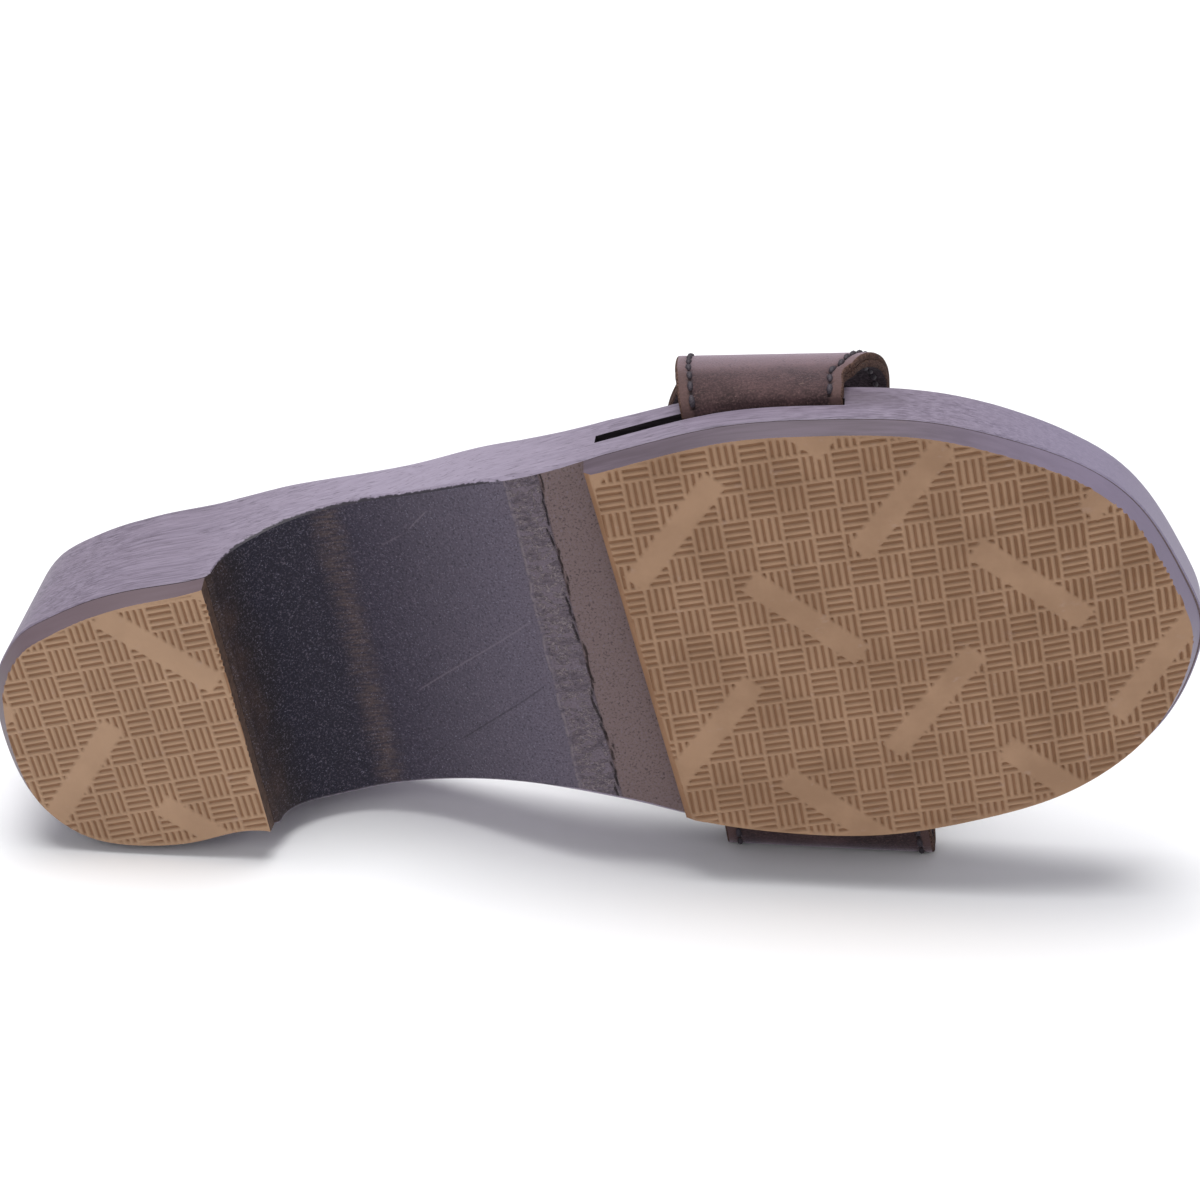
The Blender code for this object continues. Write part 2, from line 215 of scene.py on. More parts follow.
class Finish:
    """A material with one Principled shader, whose plain numbers are set when it is made."""

    def __init__(self, name, **constants):
        self.material = bpy.data.materials.new(name)
        self.material.use_nodes = True
        self.tree = self.material.node_tree
        self.shader = self.tree.nodes["Principled BSDF"]
        for socket, value in constants.items():
            self.shader.inputs[socket.replace("_", " ")].default_value = value

    def node(self, kind, settings, sockets, output=0):
        """Node of a type: first its settings, then the values or links of its sockets."""
        node = self.tree.nodes.new(kind)
        for name, value in settings.items():
            if name == "stops":
                self.fill_ramp(node.color_ramp, value)
            else:
                setattr(node, name, value)
        for key, value in sockets.items():
            self.join(value, node.inputs[key])
        return Socket(self, node.outputs[output])

    def fill_ramp(self, ramp, stops):
        """Colour ramp with one element for each pair of place and colour."""
        while len(ramp.elements) < len(stops):
            ramp.elements.new(1.0)
        for element, (place, colour) in zip(ramp.elements, stops):
            element.position = place
            element.color = colour

    def join(self, value, target):
        """Link a socket, or set a plain value."""
        if isinstance(value, Socket):
            self.tree.links.new(value.link, target)
        else:
            target.default_value = value

    def feed(self, **values):
        """Send values to sockets of the shader, by name."""
        for socket, value in values.items():
            self.join(value, self.shader.inputs[socket.replace("_", " ")])
        return self.material


print("classes ready:", Socket.__name__, Finish.__name__)

# %% [markdown]
# Words of the finishes
#
# The finishes share a few words: a colour, noise of a given grain size, a soft step, a bump, and paint,
# which lays coats of colour over each other. Colours are written as they look on a screen, from 0 to
# 255, and turned into the light values that a shader works with.

# %% Finish helpers
def tone(red, green, blue):
    """Screen colour as linear light, by the sRGB curve."""
    share = np.array([red, green, blue]) / 255
    linear = np.where(share <= 0.04045, share / 12.92, ((share + 0.055) / 1.055) ** 2.4)
    return (*linear.tolist(), 1.0)


def shoe_place(finish):
    """Place on the shoe in millimetres, as a vector."""
    place = finish.node("ShaderNodeTexCoord", {}, {}, "Object")
    turn = Matrix(TURN.tolist()).to_euler()
    sockets = {"Vector": place, "Location": HEEL_PLACE * MM, "Rotation": turn, "Scale": (MM, MM, MM)}
    return finish.node("ShaderNodeMapping", {"vector_type": "TEXTURE"}, sockets)


def axis(place, name):
    """X, Y or Z of a place."""
    return place.finish.node("ShaderNodeSeparateXYZ", {}, {0: place}, name)


def attribute(finish, name):
    """Number that a mesh carries at its points."""
    return finish.node("ShaderNodeAttribute", {"attribute_name": name}, {}, "Fac")


def noise(place, grain, detail=3.0, roughness=0.55):
    """Noise from 0 to 1, with a grain of so many millimetres along x, y and z."""
    finish = place.finish
    scale = tuple(1 / size for size in grain)
    fitted = finish.node("ShaderNodeVectorMath", {"operation": "MULTIPLY"}, {0: place, 1: scale})
    sockets = {"Vector": fitted, "Scale": 1.0, "Detail": detail, "Roughness": roughness}
    return finish.node("ShaderNodeTexNoise", {}, sockets)


def step(value, low, high):
    """Soft step: 0 below low, 1 above high."""
    sockets = {"Value": value, "From Min": low, "From Max": high}
    return value.finish.node("ShaderNodeMapRange", {"interpolation_type": "SMOOTHSTEP"}, sockets)


def ramp(value, stops):
    """Colour along a value, through pairs of place and colour."""
    return value.finish.node("ShaderNodeValToRGB", {"stops": stops}, {0: value})


def paint(colour, *coats):
    """Colour under coats, one after another: each is a share from 0 to 1 and a screen colour."""
    for share, *screen in coats:
        sockets = {0: share, 6: colour, 7: tone(*screen)}
        colour = share.finish.node("ShaderNodeMix", {"data_type": "RGBA"}, sockets, 2)
    return colour


def bump(height, depth):
    """Normal of a surface raised by a height from 0 to 1, which stands for a depth in millimetres."""
    sockets = {"Height": height, "Distance": depth * MM, "Strength": 1.0}
    return height.finish.node("ShaderNodeBump", {}, sockets)


print("finish helpers ready, mid grey is", round(tone(128, 128, 128)[0], 3))

# %% [markdown]
# Curves of the sole
#
# The sole is a row of cross sections, from heel to toe. A few tables give what changes along the way:
# the outline where wood and rubber meet, the height of the rim, and how the side is chamfered, rounded
# and flared. Smooth curves through the rows give the rest. They are the same tables that the solids were
# made from, so the carved piece and its solid are one shape, and only the number of sections differs.

# %% Tables and curves of the sole
SOLE_LENGTH = 248.5
TREAD_THICKNESS = 4.6
GLUE_GAP = 0.3
FLAT_Z = TREAD_THICKNESS + GLUE_GAP
BREAST_X = 51.8
BREAST_LIP = 1.0
ARCH_X = 72.5
ARCH_Z = 22.5
LAND_X = 124.6
TREAD_REAR_X = 135.8
ROCKER_X = 191.0
TOE_SPRING = 6.0
SLANT_PASSES = 12

OUTLINE = np.array([
    # x, outer, inner
    (0.0, 1.5, 1.5),
    (1.8, -10.7, 15.2),
    (5.0, -16.2, 21.2),
    (10.0, -21.0, 26.4),
    (16.0, -23.5, 29.6),
    (25.0, -26.1, 31.6),
    (38.0, -27.6, 31.5),
    (51.5, -28.3, 30.4),
    (60.0, -30.1, 33.3),
    (72.0, -32.0, 34.2),
    (84.0, -34.0, 33.3),
    (95.0, -36.2, 31.9),
    (108.0, -39.3, 31.0),
    (122.0, -41.2, 33.2),
    (141.0, -43.6, 40.6),
    (160.0, -45.5, 46.2),
    (180.0, -44.1, 49.2),
    (200.0, -40.5, 48.2),
    (214.0, -34.8, 46.2),
    (229.0, -25.8, 40.6),
    (240.0, -13.0, 32.0),
    (246.0, 1.8, 22.4),
    (248.5, 12.5, 12.5),
])
FOOTBED = np.array([
    # x, rim, arch, depth
    (0.0, 44.2, 0.0, 0.0),
    (12.0, 45.0, 0.0, 2.6),
    (40.0, 45.0, 0.0, 4.8),
    (54.0, 45.0, 0.6, 4.6),
    (72.0, 41.0, 2.2, 3.8),
    (89.0, 35.6, 3.0, 3.2),
    (112.0, 29.6, 2.8, 2.4),
    (138.0, 24.9, 1.0, 2.0),
    (165.0, 23.8, 0.0, 2.0),
    (200.0, 24.0, 0.0, 2.0),
    (234.0, 24.7, 0.0, 1.4),
    (248.5, 25.8, 0.0, 0.0),
])
EDGES = np.array([
    # x, tread inset, chamfer width, chamfer height, rim radius, outer flare, inner flare
    (0.0, 3.0, 0.3, 0.3, 4.0, 0.8, 0.8),
    (16.0, 2.4, 0.3, 0.3, 4.0, 0.9, -0.3),
    (30.0, 2.0, 0.3, 0.3, 4.0, 0.4, -0.3),
    (52.0, 1.0, 0.3, 0.3, 4.0, 0.9, -0.3),
    (60.0, 1.0, 0.8, 0.8, 4.0, 0.5, 0.0),
    (75.0, 1.0, 0.8, 0.8, 4.0, 0.5, 0.0),
    (95.0, 1.2, 0.8, 0.8, 3.8, 0.0, 0.0),
    (118.0, 1.4, 0.8, 0.8, 3.5, -0.5, 0.0),
    (129.0, 1.6, 0.8, 0.8, 3.5, -0.2, 0.0),
    (140.0, 1.9, 0.3, 0.3, 3.0, 0.1, 0.0),
    (165.0, 1.8, 0.3, 0.3, 3.0, 0.0, 0.1),
    (200.0, 1.8, 0.3, 0.3, 3.0, -0.3, 0.3),
    (214.0, 1.9, 0.3, 0.3, 3.0, 0.1, 0.6),
    (229.0, 2.0, 0.3, 0.3, 3.0, 0.0, 0.8),
    (240.0, 2.1, 0.3, 0.3, 3.0, 0.6, 1.0),
    (248.5, 2.1, 0.3, 0.3, 3.0, 1.2, 1.2),
])
SLANT = np.array([
    # x, slope of the crosswise lines
    (0.0, 0.0),
    (51.8, 0.02),
    (124.6, 0.054),
    (135.8, 0.085),
    (200.0, 0.035),
    (248.5, 0.0),
])


def spline(knots, values, places):
    """Natural cubic curve through the knots: its bends solve one linear system, then each span is a cubic."""
    width = np.diff(knots)
    slope = np.diff(values) / width
    system = np.eye(len(knots))
    bend = np.zeros(len(knots))
    inner = np.arange(1, len(knots) - 1)
    system[inner, inner - 1] = width[:-1]
    system[inner, inner] = 2 * (width[:-1] + width[1:])
    system[inner, inner + 1] = width[1:]
    bend[inner] = 6 * np.diff(slope)
    bend = np.linalg.solve(system, bend)
    left = np.clip(np.searchsorted(knots, places) - 1, 0, len(knots) - 2)
    ahead = (places - knots[left]) / width[left]
    behind = 1 - ahead
    cubic = (behind ** 3 - behind) * bend[left] + (ahead ** 3 - ahead) * bend[left + 1]
    return behind * values[left] + ahead * values[left + 1] + cubic * width[left] ** 2 / 6


def outline_y(x, column):
    """Side of the sole at x, as a curve over the angle of a half turn, so that both ends come out round."""
    turn = np.arccos(np.clip(1 - 2 * np.asarray(x) / SOLE_LENGTH, -1, 1))
    knots = np.arccos(1 - 2 * OUTLINE[:, 0] / SOLE_LENGTH)
    return spline(knots, OUTLINE[:, column], turn)


def toe_lift(x):
    """Rise of the underside in front of the ball, as a parabola up to the toe."""
    return TOE_SPRING * np.clip((x - ROCKER_X) / (SOLE_LENGTH - ROCKER_X), 0, None) ** 2


def underside_z(x):
    """Height of the wood's underside: flat heel, elliptic breast, cosine arch, flat ball, toe spring."""
    foot = BREAST_X + BREAST_LIP
    share = np.clip((ARCH_X - x) / (ARCH_X - foot), 0, 1)
    breast = FLAT_Z + BREAST_LIP + (ARCH_Z - FLAT_Z - BREAST_LIP) * np.sqrt(1 - share ** 2)
    fall = np.clip((x - ARCH_X) / (LAND_X - ARCH_X), 0, 1)
    arch = FLAT_Z + (ARCH_Z - FLAT_Z) * (0.5 + 0.5 * np.cos(pi * fall))
    return np.select([x <= BREAST_X, x <= ARCH_X], [np.full_like(x, FLAT_Z), breast], arch) + toe_lift(x)


def crosswise_lines(station):
    """Ends of the slanted crosswise lines on both sides of the outline, with outward directions."""
    slope = spline(SLANT[:, 0], SLANT[:, 1], station)
    sides = []
    for column in (1, 2):
        x = station.copy()
        for _ in range(SLANT_PASSES):
            y = outline_y(x, column)
            x = np.clip(station + slope * y, 0, SOLE_LENGTH)
        sides.append(np.stack([x, y], axis=-1))
    outer, inner = sides
    ring = np.concatenate([outer, inner[-2:0:-1]])
    along = np.roll(ring, -1, axis=0) - np.roll(ring, 1, axis=0)
    normal = np.stack([along[:, 1], -along[:, 0]], axis=-1)
    normal /= np.linalg.norm(normal, axis=1, keepdims=True)
    count = len(station)
    return outer, normal[:count], inner, np.concatenate([normal[:1], normal[:count - 2:-1]])


def offset_points(points, normals, inset, z):
    """Outline points moved inwards by an inset and lifted to a height."""
    flat = points - normals * np.asarray(inset)[:, None]
    return np.concatenate([flat, np.broadcast_to(z, len(points))[:, None]], axis=1)


def across(start, end, steps):
    """Inner points of straight rows from start to end, without the ends."""
    share = np.linspace(0, 1, steps + 1)[1:-1]
    return share, start[:, None] + (end - start)[:, None] * share[None, :, None]


CRACK_ZONE = (LAND_X - 2.4, LAND_X + 2.6)
CRACK_SPACING = 0.2
QUARTER_STATIONS = 44
BREAST_STATIONS = 36
WAIST_STATIONS = 40
LAND_STATIONS = 10
BALL_STATIONS = 44
STATION_DIGITS = 4
quarter = np.linspace(0, pi / 2, QUARTER_STATIONS)
hollow = np.linspace(0, pi / 2, BREAST_STATIONS)
STATIONS = np.unique(np.round(np.concatenate([
    BREAST_X * (1 - np.cos(quarter)),
    ARCH_X - (ARCH_X - BREAST_X - BREAST_LIP) * np.cos(hollow),
    np.linspace(ARCH_X, CRACK_ZONE[0], WAIST_STATIONS),
    np.arange(*CRACK_ZONE, CRACK_SPACING),
    np.linspace(CRACK_ZONE[1], TREAD_REAR_X, LAND_STATIONS),
    np.linspace(TREAD_REAR_X, ROCKER_X, BALL_STATIONS),
    ROCKER_X + (SOLE_LENGTH - ROCKER_X) * np.sin(quarter),
]), STATION_DIGITS))
print(len(STATIONS), "stations from heel to toe")

# %% [markdown]
# The carved wood
#
# One block of light wood is milled to this shape: dished footbed on top, rounded rim, block heel with a
# hollow breast, and a slot in each side for the strap. Each section is a closed loop: underside, inner
# wall, rim, footbed, outer rim, outer wall. The real underside shows a hairline crack where the cutter
# for the waist met the flat under the ball. It is cut here as a narrow dip that wanders a little,
# because a painted line alone looks flat.

# %% Sections of the wood
BOTTOM_STEPS = 48
TOP_STEPS = 40
WALL_STEPS = 7
RIM_STEPS = 8
DISH_POWER = 4
CRACK_DEPTH = 0.4
CRACK_WIDTH = 0.18
CRACK_WAVES = (
    # height, turn for each millimetre, start
    (0.5, 0.31, 1.0),
    (0.3, 0.83, 2.2),
    (0.2, 2.1, 0.0),
)


def crack_place(y):
    """Station of the crack across the waist: the land line with three small sine waves added."""
    return LAND_X + sum(height * np.sin(rate * y + start) for height, rate, start in CRACK_WAVES)


def wall_loop(points, normals, bottom, rim, chamfer, radius, flare):
    """Side of the wood from its lower edge: chamfer, wall that leans out evenly, quarter-round rim."""
    width, height = chamfer
    shoulder = rim - radius
    crease = bottom + height
    lean = flare / (shoulder - FLAT_Z)
    rows = [offset_points(points, normals, width - lean * (bottom - FLAT_Z), bottom)]
    for share in np.linspace(0, 1, WALL_STEPS + 1):
        z = crease + (shoulder - crease) * share
        rows.append(offset_points(points, normals, -lean * (z - FLAT_Z), z))
    for turn in np.linspace(0, pi / 2, RIM_STEPS + 1)[1:]:
        inset = radius * (1 - cos(turn)) - flare
        rows.append(offset_points(points, normals, inset, shoulder + radius * sin(turn)))
    return np.stack(rows, axis=1)


def wood_sections(station):
    """Closed sections of the wood, and for each column of points the number of its finish.

    The crack is a bell curve of depth round its line. The footbed is dished by one less a power of the share
    from its middle to its side.
    """
    outer, outer_normal, inner, inner_normal = crosswise_lines(station)
    edges = (np.interp(station, EDGES[:, 0], column) for column in EDGES[:, 1:].T)
    _, *chamfer, radius, outer_flare, inner_flare = edges
    rim, arch, depth = (spline(FOOTBED[:, 0], FOOTBED[:, k], station) for k in (1, 2, 3))
    bottom = underside_z(station)
    outer_wall = wall_loop(outer, outer_normal, bottom, rim, chamfer, radius, outer_flare)
    inner_wall = wall_loop(inner, inner_normal, bottom, rim + arch, chamfer, radius, inner_flare)
    _, bottom_row = across(outer_wall[:, 0], inner_wall[:, 0], BOTTOM_STEPS)
    away = (station[:, None] - crack_place(bottom_row[:, :, 1])) / CRACK_WIDTH
    bottom_row[:, :, 2] += CRACK_DEPTH * np.exp(-away ** 2)
    share, top_row = across(inner_wall[:, -1], outer_wall[:, -1], TOP_STEPS)
    dish = 1 - np.abs(2 * share - 1) ** DISH_POWER
    top_row[:, :, 2] -= np.clip(depth, 0, None)[:, None] * dish[None, :]
    sections = np.concatenate([bottom_row, inner_wall, top_row, outer_wall[:, ::-1]], axis=1)
    wall = inner_wall.shape[1]
    kinds = np.repeat([1, 0, 2, 0, 1], [BOTTOM_STEPS - 1, wall - 1, TOP_STEPS, wall - 1, 1])
    return sections, kinds


sections, column_kinds = wood_sections(STATIONS)
print("wood sections:", sections.shape[:2], "points along and around")

# %% [markdown]
# Slots for the strap
#
# The strap disappears into a long slot in each side. A slot could be modelled into the wall's own grid,
# but it crosses the sections at an angle, so a Boolean cut with a bar that follows the wall is simpler
# and exact.

# %% Slot bars
SLOT_Z = 13.5
SLOT_HEIGHT = 3.6
SLOT_DEPTH = 15.0
SLOT_OVERCUT = 9.0
SLOT_SECTIONS = 30
SLOTS = (
    # name, start and end x, column of the outline, way into the wood
    ("outer_slot", (134.0, 184.25), 1, 1.0),
    ("inner_slot", (134.0, 191.5), 2, -1.0),
)


def slot_bar(name, reach, column, inwards, finish):
    """Closed bar along the wall: a rectangle from outside the wall to the slot's depth, carried along x."""
    x = np.linspace(*reach, SLOT_SECTIONS)
    wall = outline_y(x, column)
    deep = wall + inwards * SLOT_DEPTH
    open_end = wall - inwards * SLOT_OVERCUT
    low = np.full_like(x, SLOT_Z - SLOT_HEIGHT / 2)
    high = np.full_like(x, SLOT_Z + SLOT_HEIGHT / 2)
    corners = [(open_end, low), (deep, low), (deep, high), (open_end, high)]
    bar = np.stack([np.stack([x, y, z], axis=-1) for y, z in corners], axis=1)
    last = 4 * (SLOT_SECTIONS - 1)
    ends = [(0, 1, 2, 3), (last, last + 1, last + 2, last + 3)]
    return add_piece(name, bar, [*grid_quads(SLOT_SECTIONS, 4, closed=True).tolist(), *ends], [finish])


print("slots:", [row[0] for row in SLOTS])

# %% [markdown]
# Stained wood
#
# The side is light wood under a grey-violet stain with a satin topcoat. Its grain runs from heel to toe,
# so the noise is stretched some forty times longer along x than across. It is paler along the waist,
# polished smooth at the toe, and darker in front of the strap, partly stain and partly painted shadow
# of the strap. The underside of the waist is stained almost black and left rough. Its colour changes
# along the shoe: brown at the foot of the breast, black in the hollow, a paler streak where the cutter
# ran off that is partly a painted highlight over the curve, then greyer up to a rough band and the
# crack, and warm brown on the flat under the ball. Pictures of wood could do this, but they would have
# to be fitted to the shape, and noise in the wood's own millimetres needs none.

# %% Side and slot finishes
PALE_MIDDLE = 95.0
PALE_REACH = 70.0
POLISHED_X = (195.0, 235.0)
# Middle and reach of the dark mark in front of the strap, partly stain and partly painted shadow of the strap.
STAIN_AND_SHADOW_PLACE = (186.0, 16.5)
STAIN_AND_SHADOW_REACH = (17.0, 9.0)
OUTER_SIDE = (10.0, 20.0)


def near_line(value, half_width):
    """1 where a value is zero, falling to 0 at the half width on both sides."""
    return 1 - step(value.math("ABSOLUTE"), 0.0, half_width)


def side_finish():
    """Streaks and pores, a pale stretch, a polished toe, a dark mark of stain and painted strap shadow, and
    stain over the lower edge.
    """
    finish = Finish("stained_wood_side", Specular_IOR_Level=0.4)
    place = shoe_place(finish)
    x, y, z = (axis(place, name) for name in "XYZ")
    broad = noise(place, (60.0, 6.0, 6.0))
    streak = noise(place, (22.0, 0.6, 0.6), 5.0, 0.65)
    pore = step(noise(place, (7.0, 0.4, 0.4), 2.0), 0.58, 0.7)
    bleed = attribute(finish, "bleed") + noise(place, (1.2, 0.8, 0.8)) * 0.8 - 0.4
    polished = step(x, *POLISHED_X)
    # The dark mark in front of the strap is partly stain and partly painted shadow of the strap.
    stain_and_strap_shadow = near_line(x - STAIN_AND_SHADOW_PLACE[0], STAIN_AND_SHADOW_REACH[0]) * near_line(z - STAIN_AND_SHADOW_PLACE[1], STAIN_AND_SHADOW_REACH[1])
    colour = paint(
        tone(98, 87, 103),
        (step(streak, 0.3, 0.7), 142, 131, 149),
        (step(broad, 0.35, 0.7) * 0.5, 135, 123, 140),
        (near_line(x - PALE_MIDDLE, PALE_REACH) * 0.45, 178, 168, 188),
        (pore * 0.55, 78, 69, 80),
        (polished * 0.6, 139, 131, 155),
        (stain_and_strap_shadow * step(0.0 - y, *OUTER_SIDE) * 0.6, 78, 66, 74),
        (step(bleed, 0.45, 0.7), 50, 45, 54),
    )
    relief = bump((streak * 0.6 - pore * 0.4) * (1 - polished * 0.8), 0.12)
    return finish.feed(Base_Color=colour, Roughness=0.42 + streak * 0.16, Normal=relief)


def slot_finish():
    """Sawn wood with short streaks, painted near black as the shade inside the slot."""
    finish = Finish("slot_painted_shade", Specular_IOR_Level=0.15)
    sawn = noise(shoe_place(finish), (6.0, 0.8, 0.8), 4.0, 0.6)
    # Near black: painted shade inside the slot, over the sawn wood.
    colour = paint(tone(28, 24, 27), (step(sawn, 0.3, 0.7), 48, 42, 46))
    return finish.feed(Base_Color=colour, Roughness=0.75 + sawn * 0.15, Normal=bump(sawn, 0.15))


wood_side, slot_painted_shade = side_finish(), slot_finish()
print("finishes:", wood_side.name, slot_painted_shade.name)

# %% Waist finish
LINE_X = 117.2
# Middle and half width of the pale band where the cutter ran off, partly a painted highlight over the curve.
STREAK_AND_HIGHLIGHT_X = 74.6
STREAK_AND_HIGHLIGHT_HALF = 5.0
SCORE_FADE = 3.0
SCORED_LINES = (
    # start x and y, end x and y, half width, colour
    ((84.8, 11.6), (115.9, -8.6), 0.16, (118, 108, 120)),
    ((92.1, 22.8), (116.0, 6.4), 0.16, (40, 35, 42)),
    ((98.1, -32.8), (91.0, -26.4), 0.14, (120, 110, 122)),
    ((91.0, -26.4), (83.8, -22.6), 0.14, (112, 102, 114)),
)
WAIST_TONES = (
    # share of the sole's length, colour
    (0.208, tone(66, 51, 46)),
    (0.220, tone(38, 33, 37)),
    (0.235, tone(35, 33, 46)),
    (0.285, tone(42, 39, 52)),
    (0.325, tone(62, 57, 71)),
    (0.385, tone(80, 74, 87)),
    (0.450, tone(92, 85, 99)),
    (0.478, tone(94, 86, 99)),
)


def scored_line(x, y, start, end, half_width):
    """Mask of a straight score: near the line through two points, and between their crosswise ends."""
    reach = np.hypot(end[0] - start[0], end[1] - start[1])
    way = ((end[0] - start[0]) / reach, (end[1] - start[1]) / reach)
    along = (x - start[0]) * way[0] + (y - start[1]) * way[1]
    aside = (x - start[0]) * way[1] - (y - start[1]) * way[0]
    past_middle = (along - reach / 2).math("ABSOLUTE")
    return near_line(aside, half_width * 2) * (1 - step(past_middle, reach / 2 - SCORE_FADE, reach / 2))


def waist_finish():
    """Tones along the station, then the pale band, partly a painted highlight, rough band, land, specks with
    painted glints, edge line, scores and crack.
    """
    finish = Finish("stained_wood_waist", Specular_IOR_Level=0.22)
    place = shoe_place(finish)
    x, y = (axis(place, name) for name in "XY")
    station = attribute(finish, "station")
    wander = noise(place, (9.0, 9.0, 9.0))
    dash = noise(place, (5.0, 0.5, 0.5), 3.0, 0.6)
    speckle = noise(place, (0.5, 0.5, 0.5), 3.0, 0.7)
    # The palest flecks of this noise are painted glints; the same noise breaks up the edge of the crack.
    fleck = noise(place, (0.36, 0.36, 0.36), 2.0, 0.6)
    wrinkle = noise(place, (2.6, 1.5, 2.0), 3.0, 0.6)
    ridge = near_line(wrinkle - 0.5, 0.05)
    # Pale band where the cutter ran off, partly a painted highlight over the curve.
    streak_and_highlight = near_line(station - STREAK_AND_HIGHLIGHT_X + wander * 3.0 - 1.5, STREAK_AND_HIGHLIGHT_HALF)
    land = step(station, LAND_X - 0.2, LAND_X + 0.4)
    rough_band = step(station, LINE_X - 0.6, LINE_X + 1.2) * (1 - land)
    edge_line = near_line(station - LINE_X + wander * 2.0 - 1.0, 0.5) * step(wrinkle, 0.35, 0.55)
    crack = step(attribute(finish, "crack") + fleck * 0.9 - 0.45, 0.35, 0.8)
    scores = [(scored_line(x, y, *line) * 0.5, *screen) for *line, screen in SCORED_LINES]
    colour = paint(
        ramp((station + wander * 6.0 - 3.0) / SOLE_LENGTH, WAIST_TONES),
        (streak_and_highlight * (0.15 + step(dash, 0.4, 0.62) * 0.6), 92, 77, 74),
        (rough_band * 0.75, 110, 98, 107),
        (rough_band * step(0.47 - wrinkle, 0.0, 0.1) * 0.55, 58, 50, 56),
        (rough_band * ridge * 0.75, 142, 130, 132),
        (land, 114, 97, 97),
        (step(0.5 - speckle, 0.0, 0.22) * 0.7, 30, 27, 34),
        (step(speckle, 0.52, 0.72) * 0.55, 118, 109, 122),
        # Pale bluish flecks: painted glints.
        (step(fleck, 0.6, 0.74) * 0.5 * (1 - land), 146, 142, 162),
        (edge_line * 0.6, 132, 121, 126),
        *scores,
        (crack * 0.75, 34, 28, 27),
    )
    wrinkles = rough_band * (ridge * 0.8 + wrinkle * 2.0)
    relief = bump(speckle * 0.6 + wrinkles + edge_line * 0.5 + dash * 0.3, 0.3)
    return finish.feed(Base_Color=colour, Roughness=0.5 + speckle * 0.3, Normal=relief)


wood_waist = waist_finish()
print("finish:", wood_waist.name, "with", len(SCORED_LINES), "scored lines")

# %% Footbed finish
def footbed_finish():
    """Long streaks over broad rings."""
    finish = Finish("stained_wood_footbed", Specular_IOR_Level=0.4)
    place = shoe_place(finish)
    streak = noise(place, (40.0, 1.1, 4.0), 5.0, 0.6)
    ring = noise(place, (90.0, 7.0, 20.0), 2.0)
    colour = paint(
        tone(116, 105, 118),
        (step(streak, 0.3, 0.7), 152, 141, 156),
        (step(ring, 0.4, 0.65) * 0.4, 104, 93, 105),
    )
    return finish.feed(Base_Color=colour, Roughness=0.4 + streak * 0.14, Normal=bump(streak, 0.06))


wood_footbed = footbed_finish()
print("finish:", wood_footbed.name)

# %% [markdown]
# Put the wood together
#
# The piece is made from its sections and then cut by the two bars. Three numbers ride along on its
# points, and the finishes read them: the station (where the point lies along the slanted lines), how
# near it is to the crack, and how far the dark stain of the waist has crept round the edge onto the
# side.

# %% Wood piece
BLEED_REACH = 1.1
CRACK_MARK_WIDTH = 0.3
WAIST_SPAN = (BREAST_X - 2.0, BREAST_X + 4.0, LAND_X - 14.0, LAND_X)


def shoe_points(piece):
    """Points of a piece, back in the shoe's own frame."""
    flat = np.empty(len(piece.data.vertices) * 3, dtype=np.float32)
    piece.data.vertices.foreach_get("co", flat)
    return (flat.reshape(-1, 3) / MM - HEEL_PLACE) @ TURN


wood_quads = grid_quads(*sections.shape[:2], closed=True)
wood_kinds = np.tile(column_kinds, len(STATIONS) - 1)
wood_finishes = [wood_side, wood_waist, wood_footbed]
slot_bars = [slot_bar(*row, slot_painted_shade) for row in SLOTS]
wood = add_piece("wood_sole_carved", sections, wood_quads.tolist(), wood_finishes, wood_kinds)
wood = cut_piece("wood_sole_carved", wood, "DIFFERENCE", *slot_bars)
points = shoe_points(wood)
slope = spline(SLANT[:, 0], SLANT[:, 1], points[:, 0])
station = points[:, 0] - slope * points[:, 1]
in_waist = np.interp(station, WAIST_SPAN, (0, 1, 1, 0))
mark_points(wood.data, "station", station)
from_crack = (station - crack_place(points[:, 1])) / CRACK_MARK_WIDTH
mark_points(wood.data, "crack", np.exp(-from_crack ** 2))
from_edge = (points[:, 2] - underside_z(station)) / BLEED_REACH
mark_points(wood.data, "bleed", in_waist * np.clip(1 - from_edge, 0, 1))
settle(wood, "stained_wood", "wood_sole")

# %% [markdown]
# Basket weave of the treads
#
# The rubber sheets carry a basket weave: square blocks of short ribs, turned by a quarter from block to
# block, and smooth diagonal patches between them at even distances. Modelled as separate bars, the ribs
# would float on a slab. A height over a grid is one surface instead. Each block has sixteen steps each
# way, four to a rib: the two edges of its groove's floor, and on both sides of them the edges of the
# crests. Across the ribs the height follows the grooves, and along them it comes back up near the ends.

# %% Height of the weave
RIBS = 4
GROOVE_DEPTH = 0.58
STEP_PLACES = np.array([0.13, 0.37, 0.63, 0.87])
GROOVE_PROFILE = np.array([0.0, 1.0, 1.0, 0.0])
RIB_END = 0.03
RIB_RISE = 0.06
BLOCK_HEIGHT = 3 * TREAD_THICKNESS
EDGE_FADE = 1.0
PATCH_PITCH = 45.0
PATCH_LENGTH = 28.0
PATCH_WIDTH = 5.2
PATCH_SOFTNESS = 0.4
STEPS = RIBS * len(STEP_PLACES)


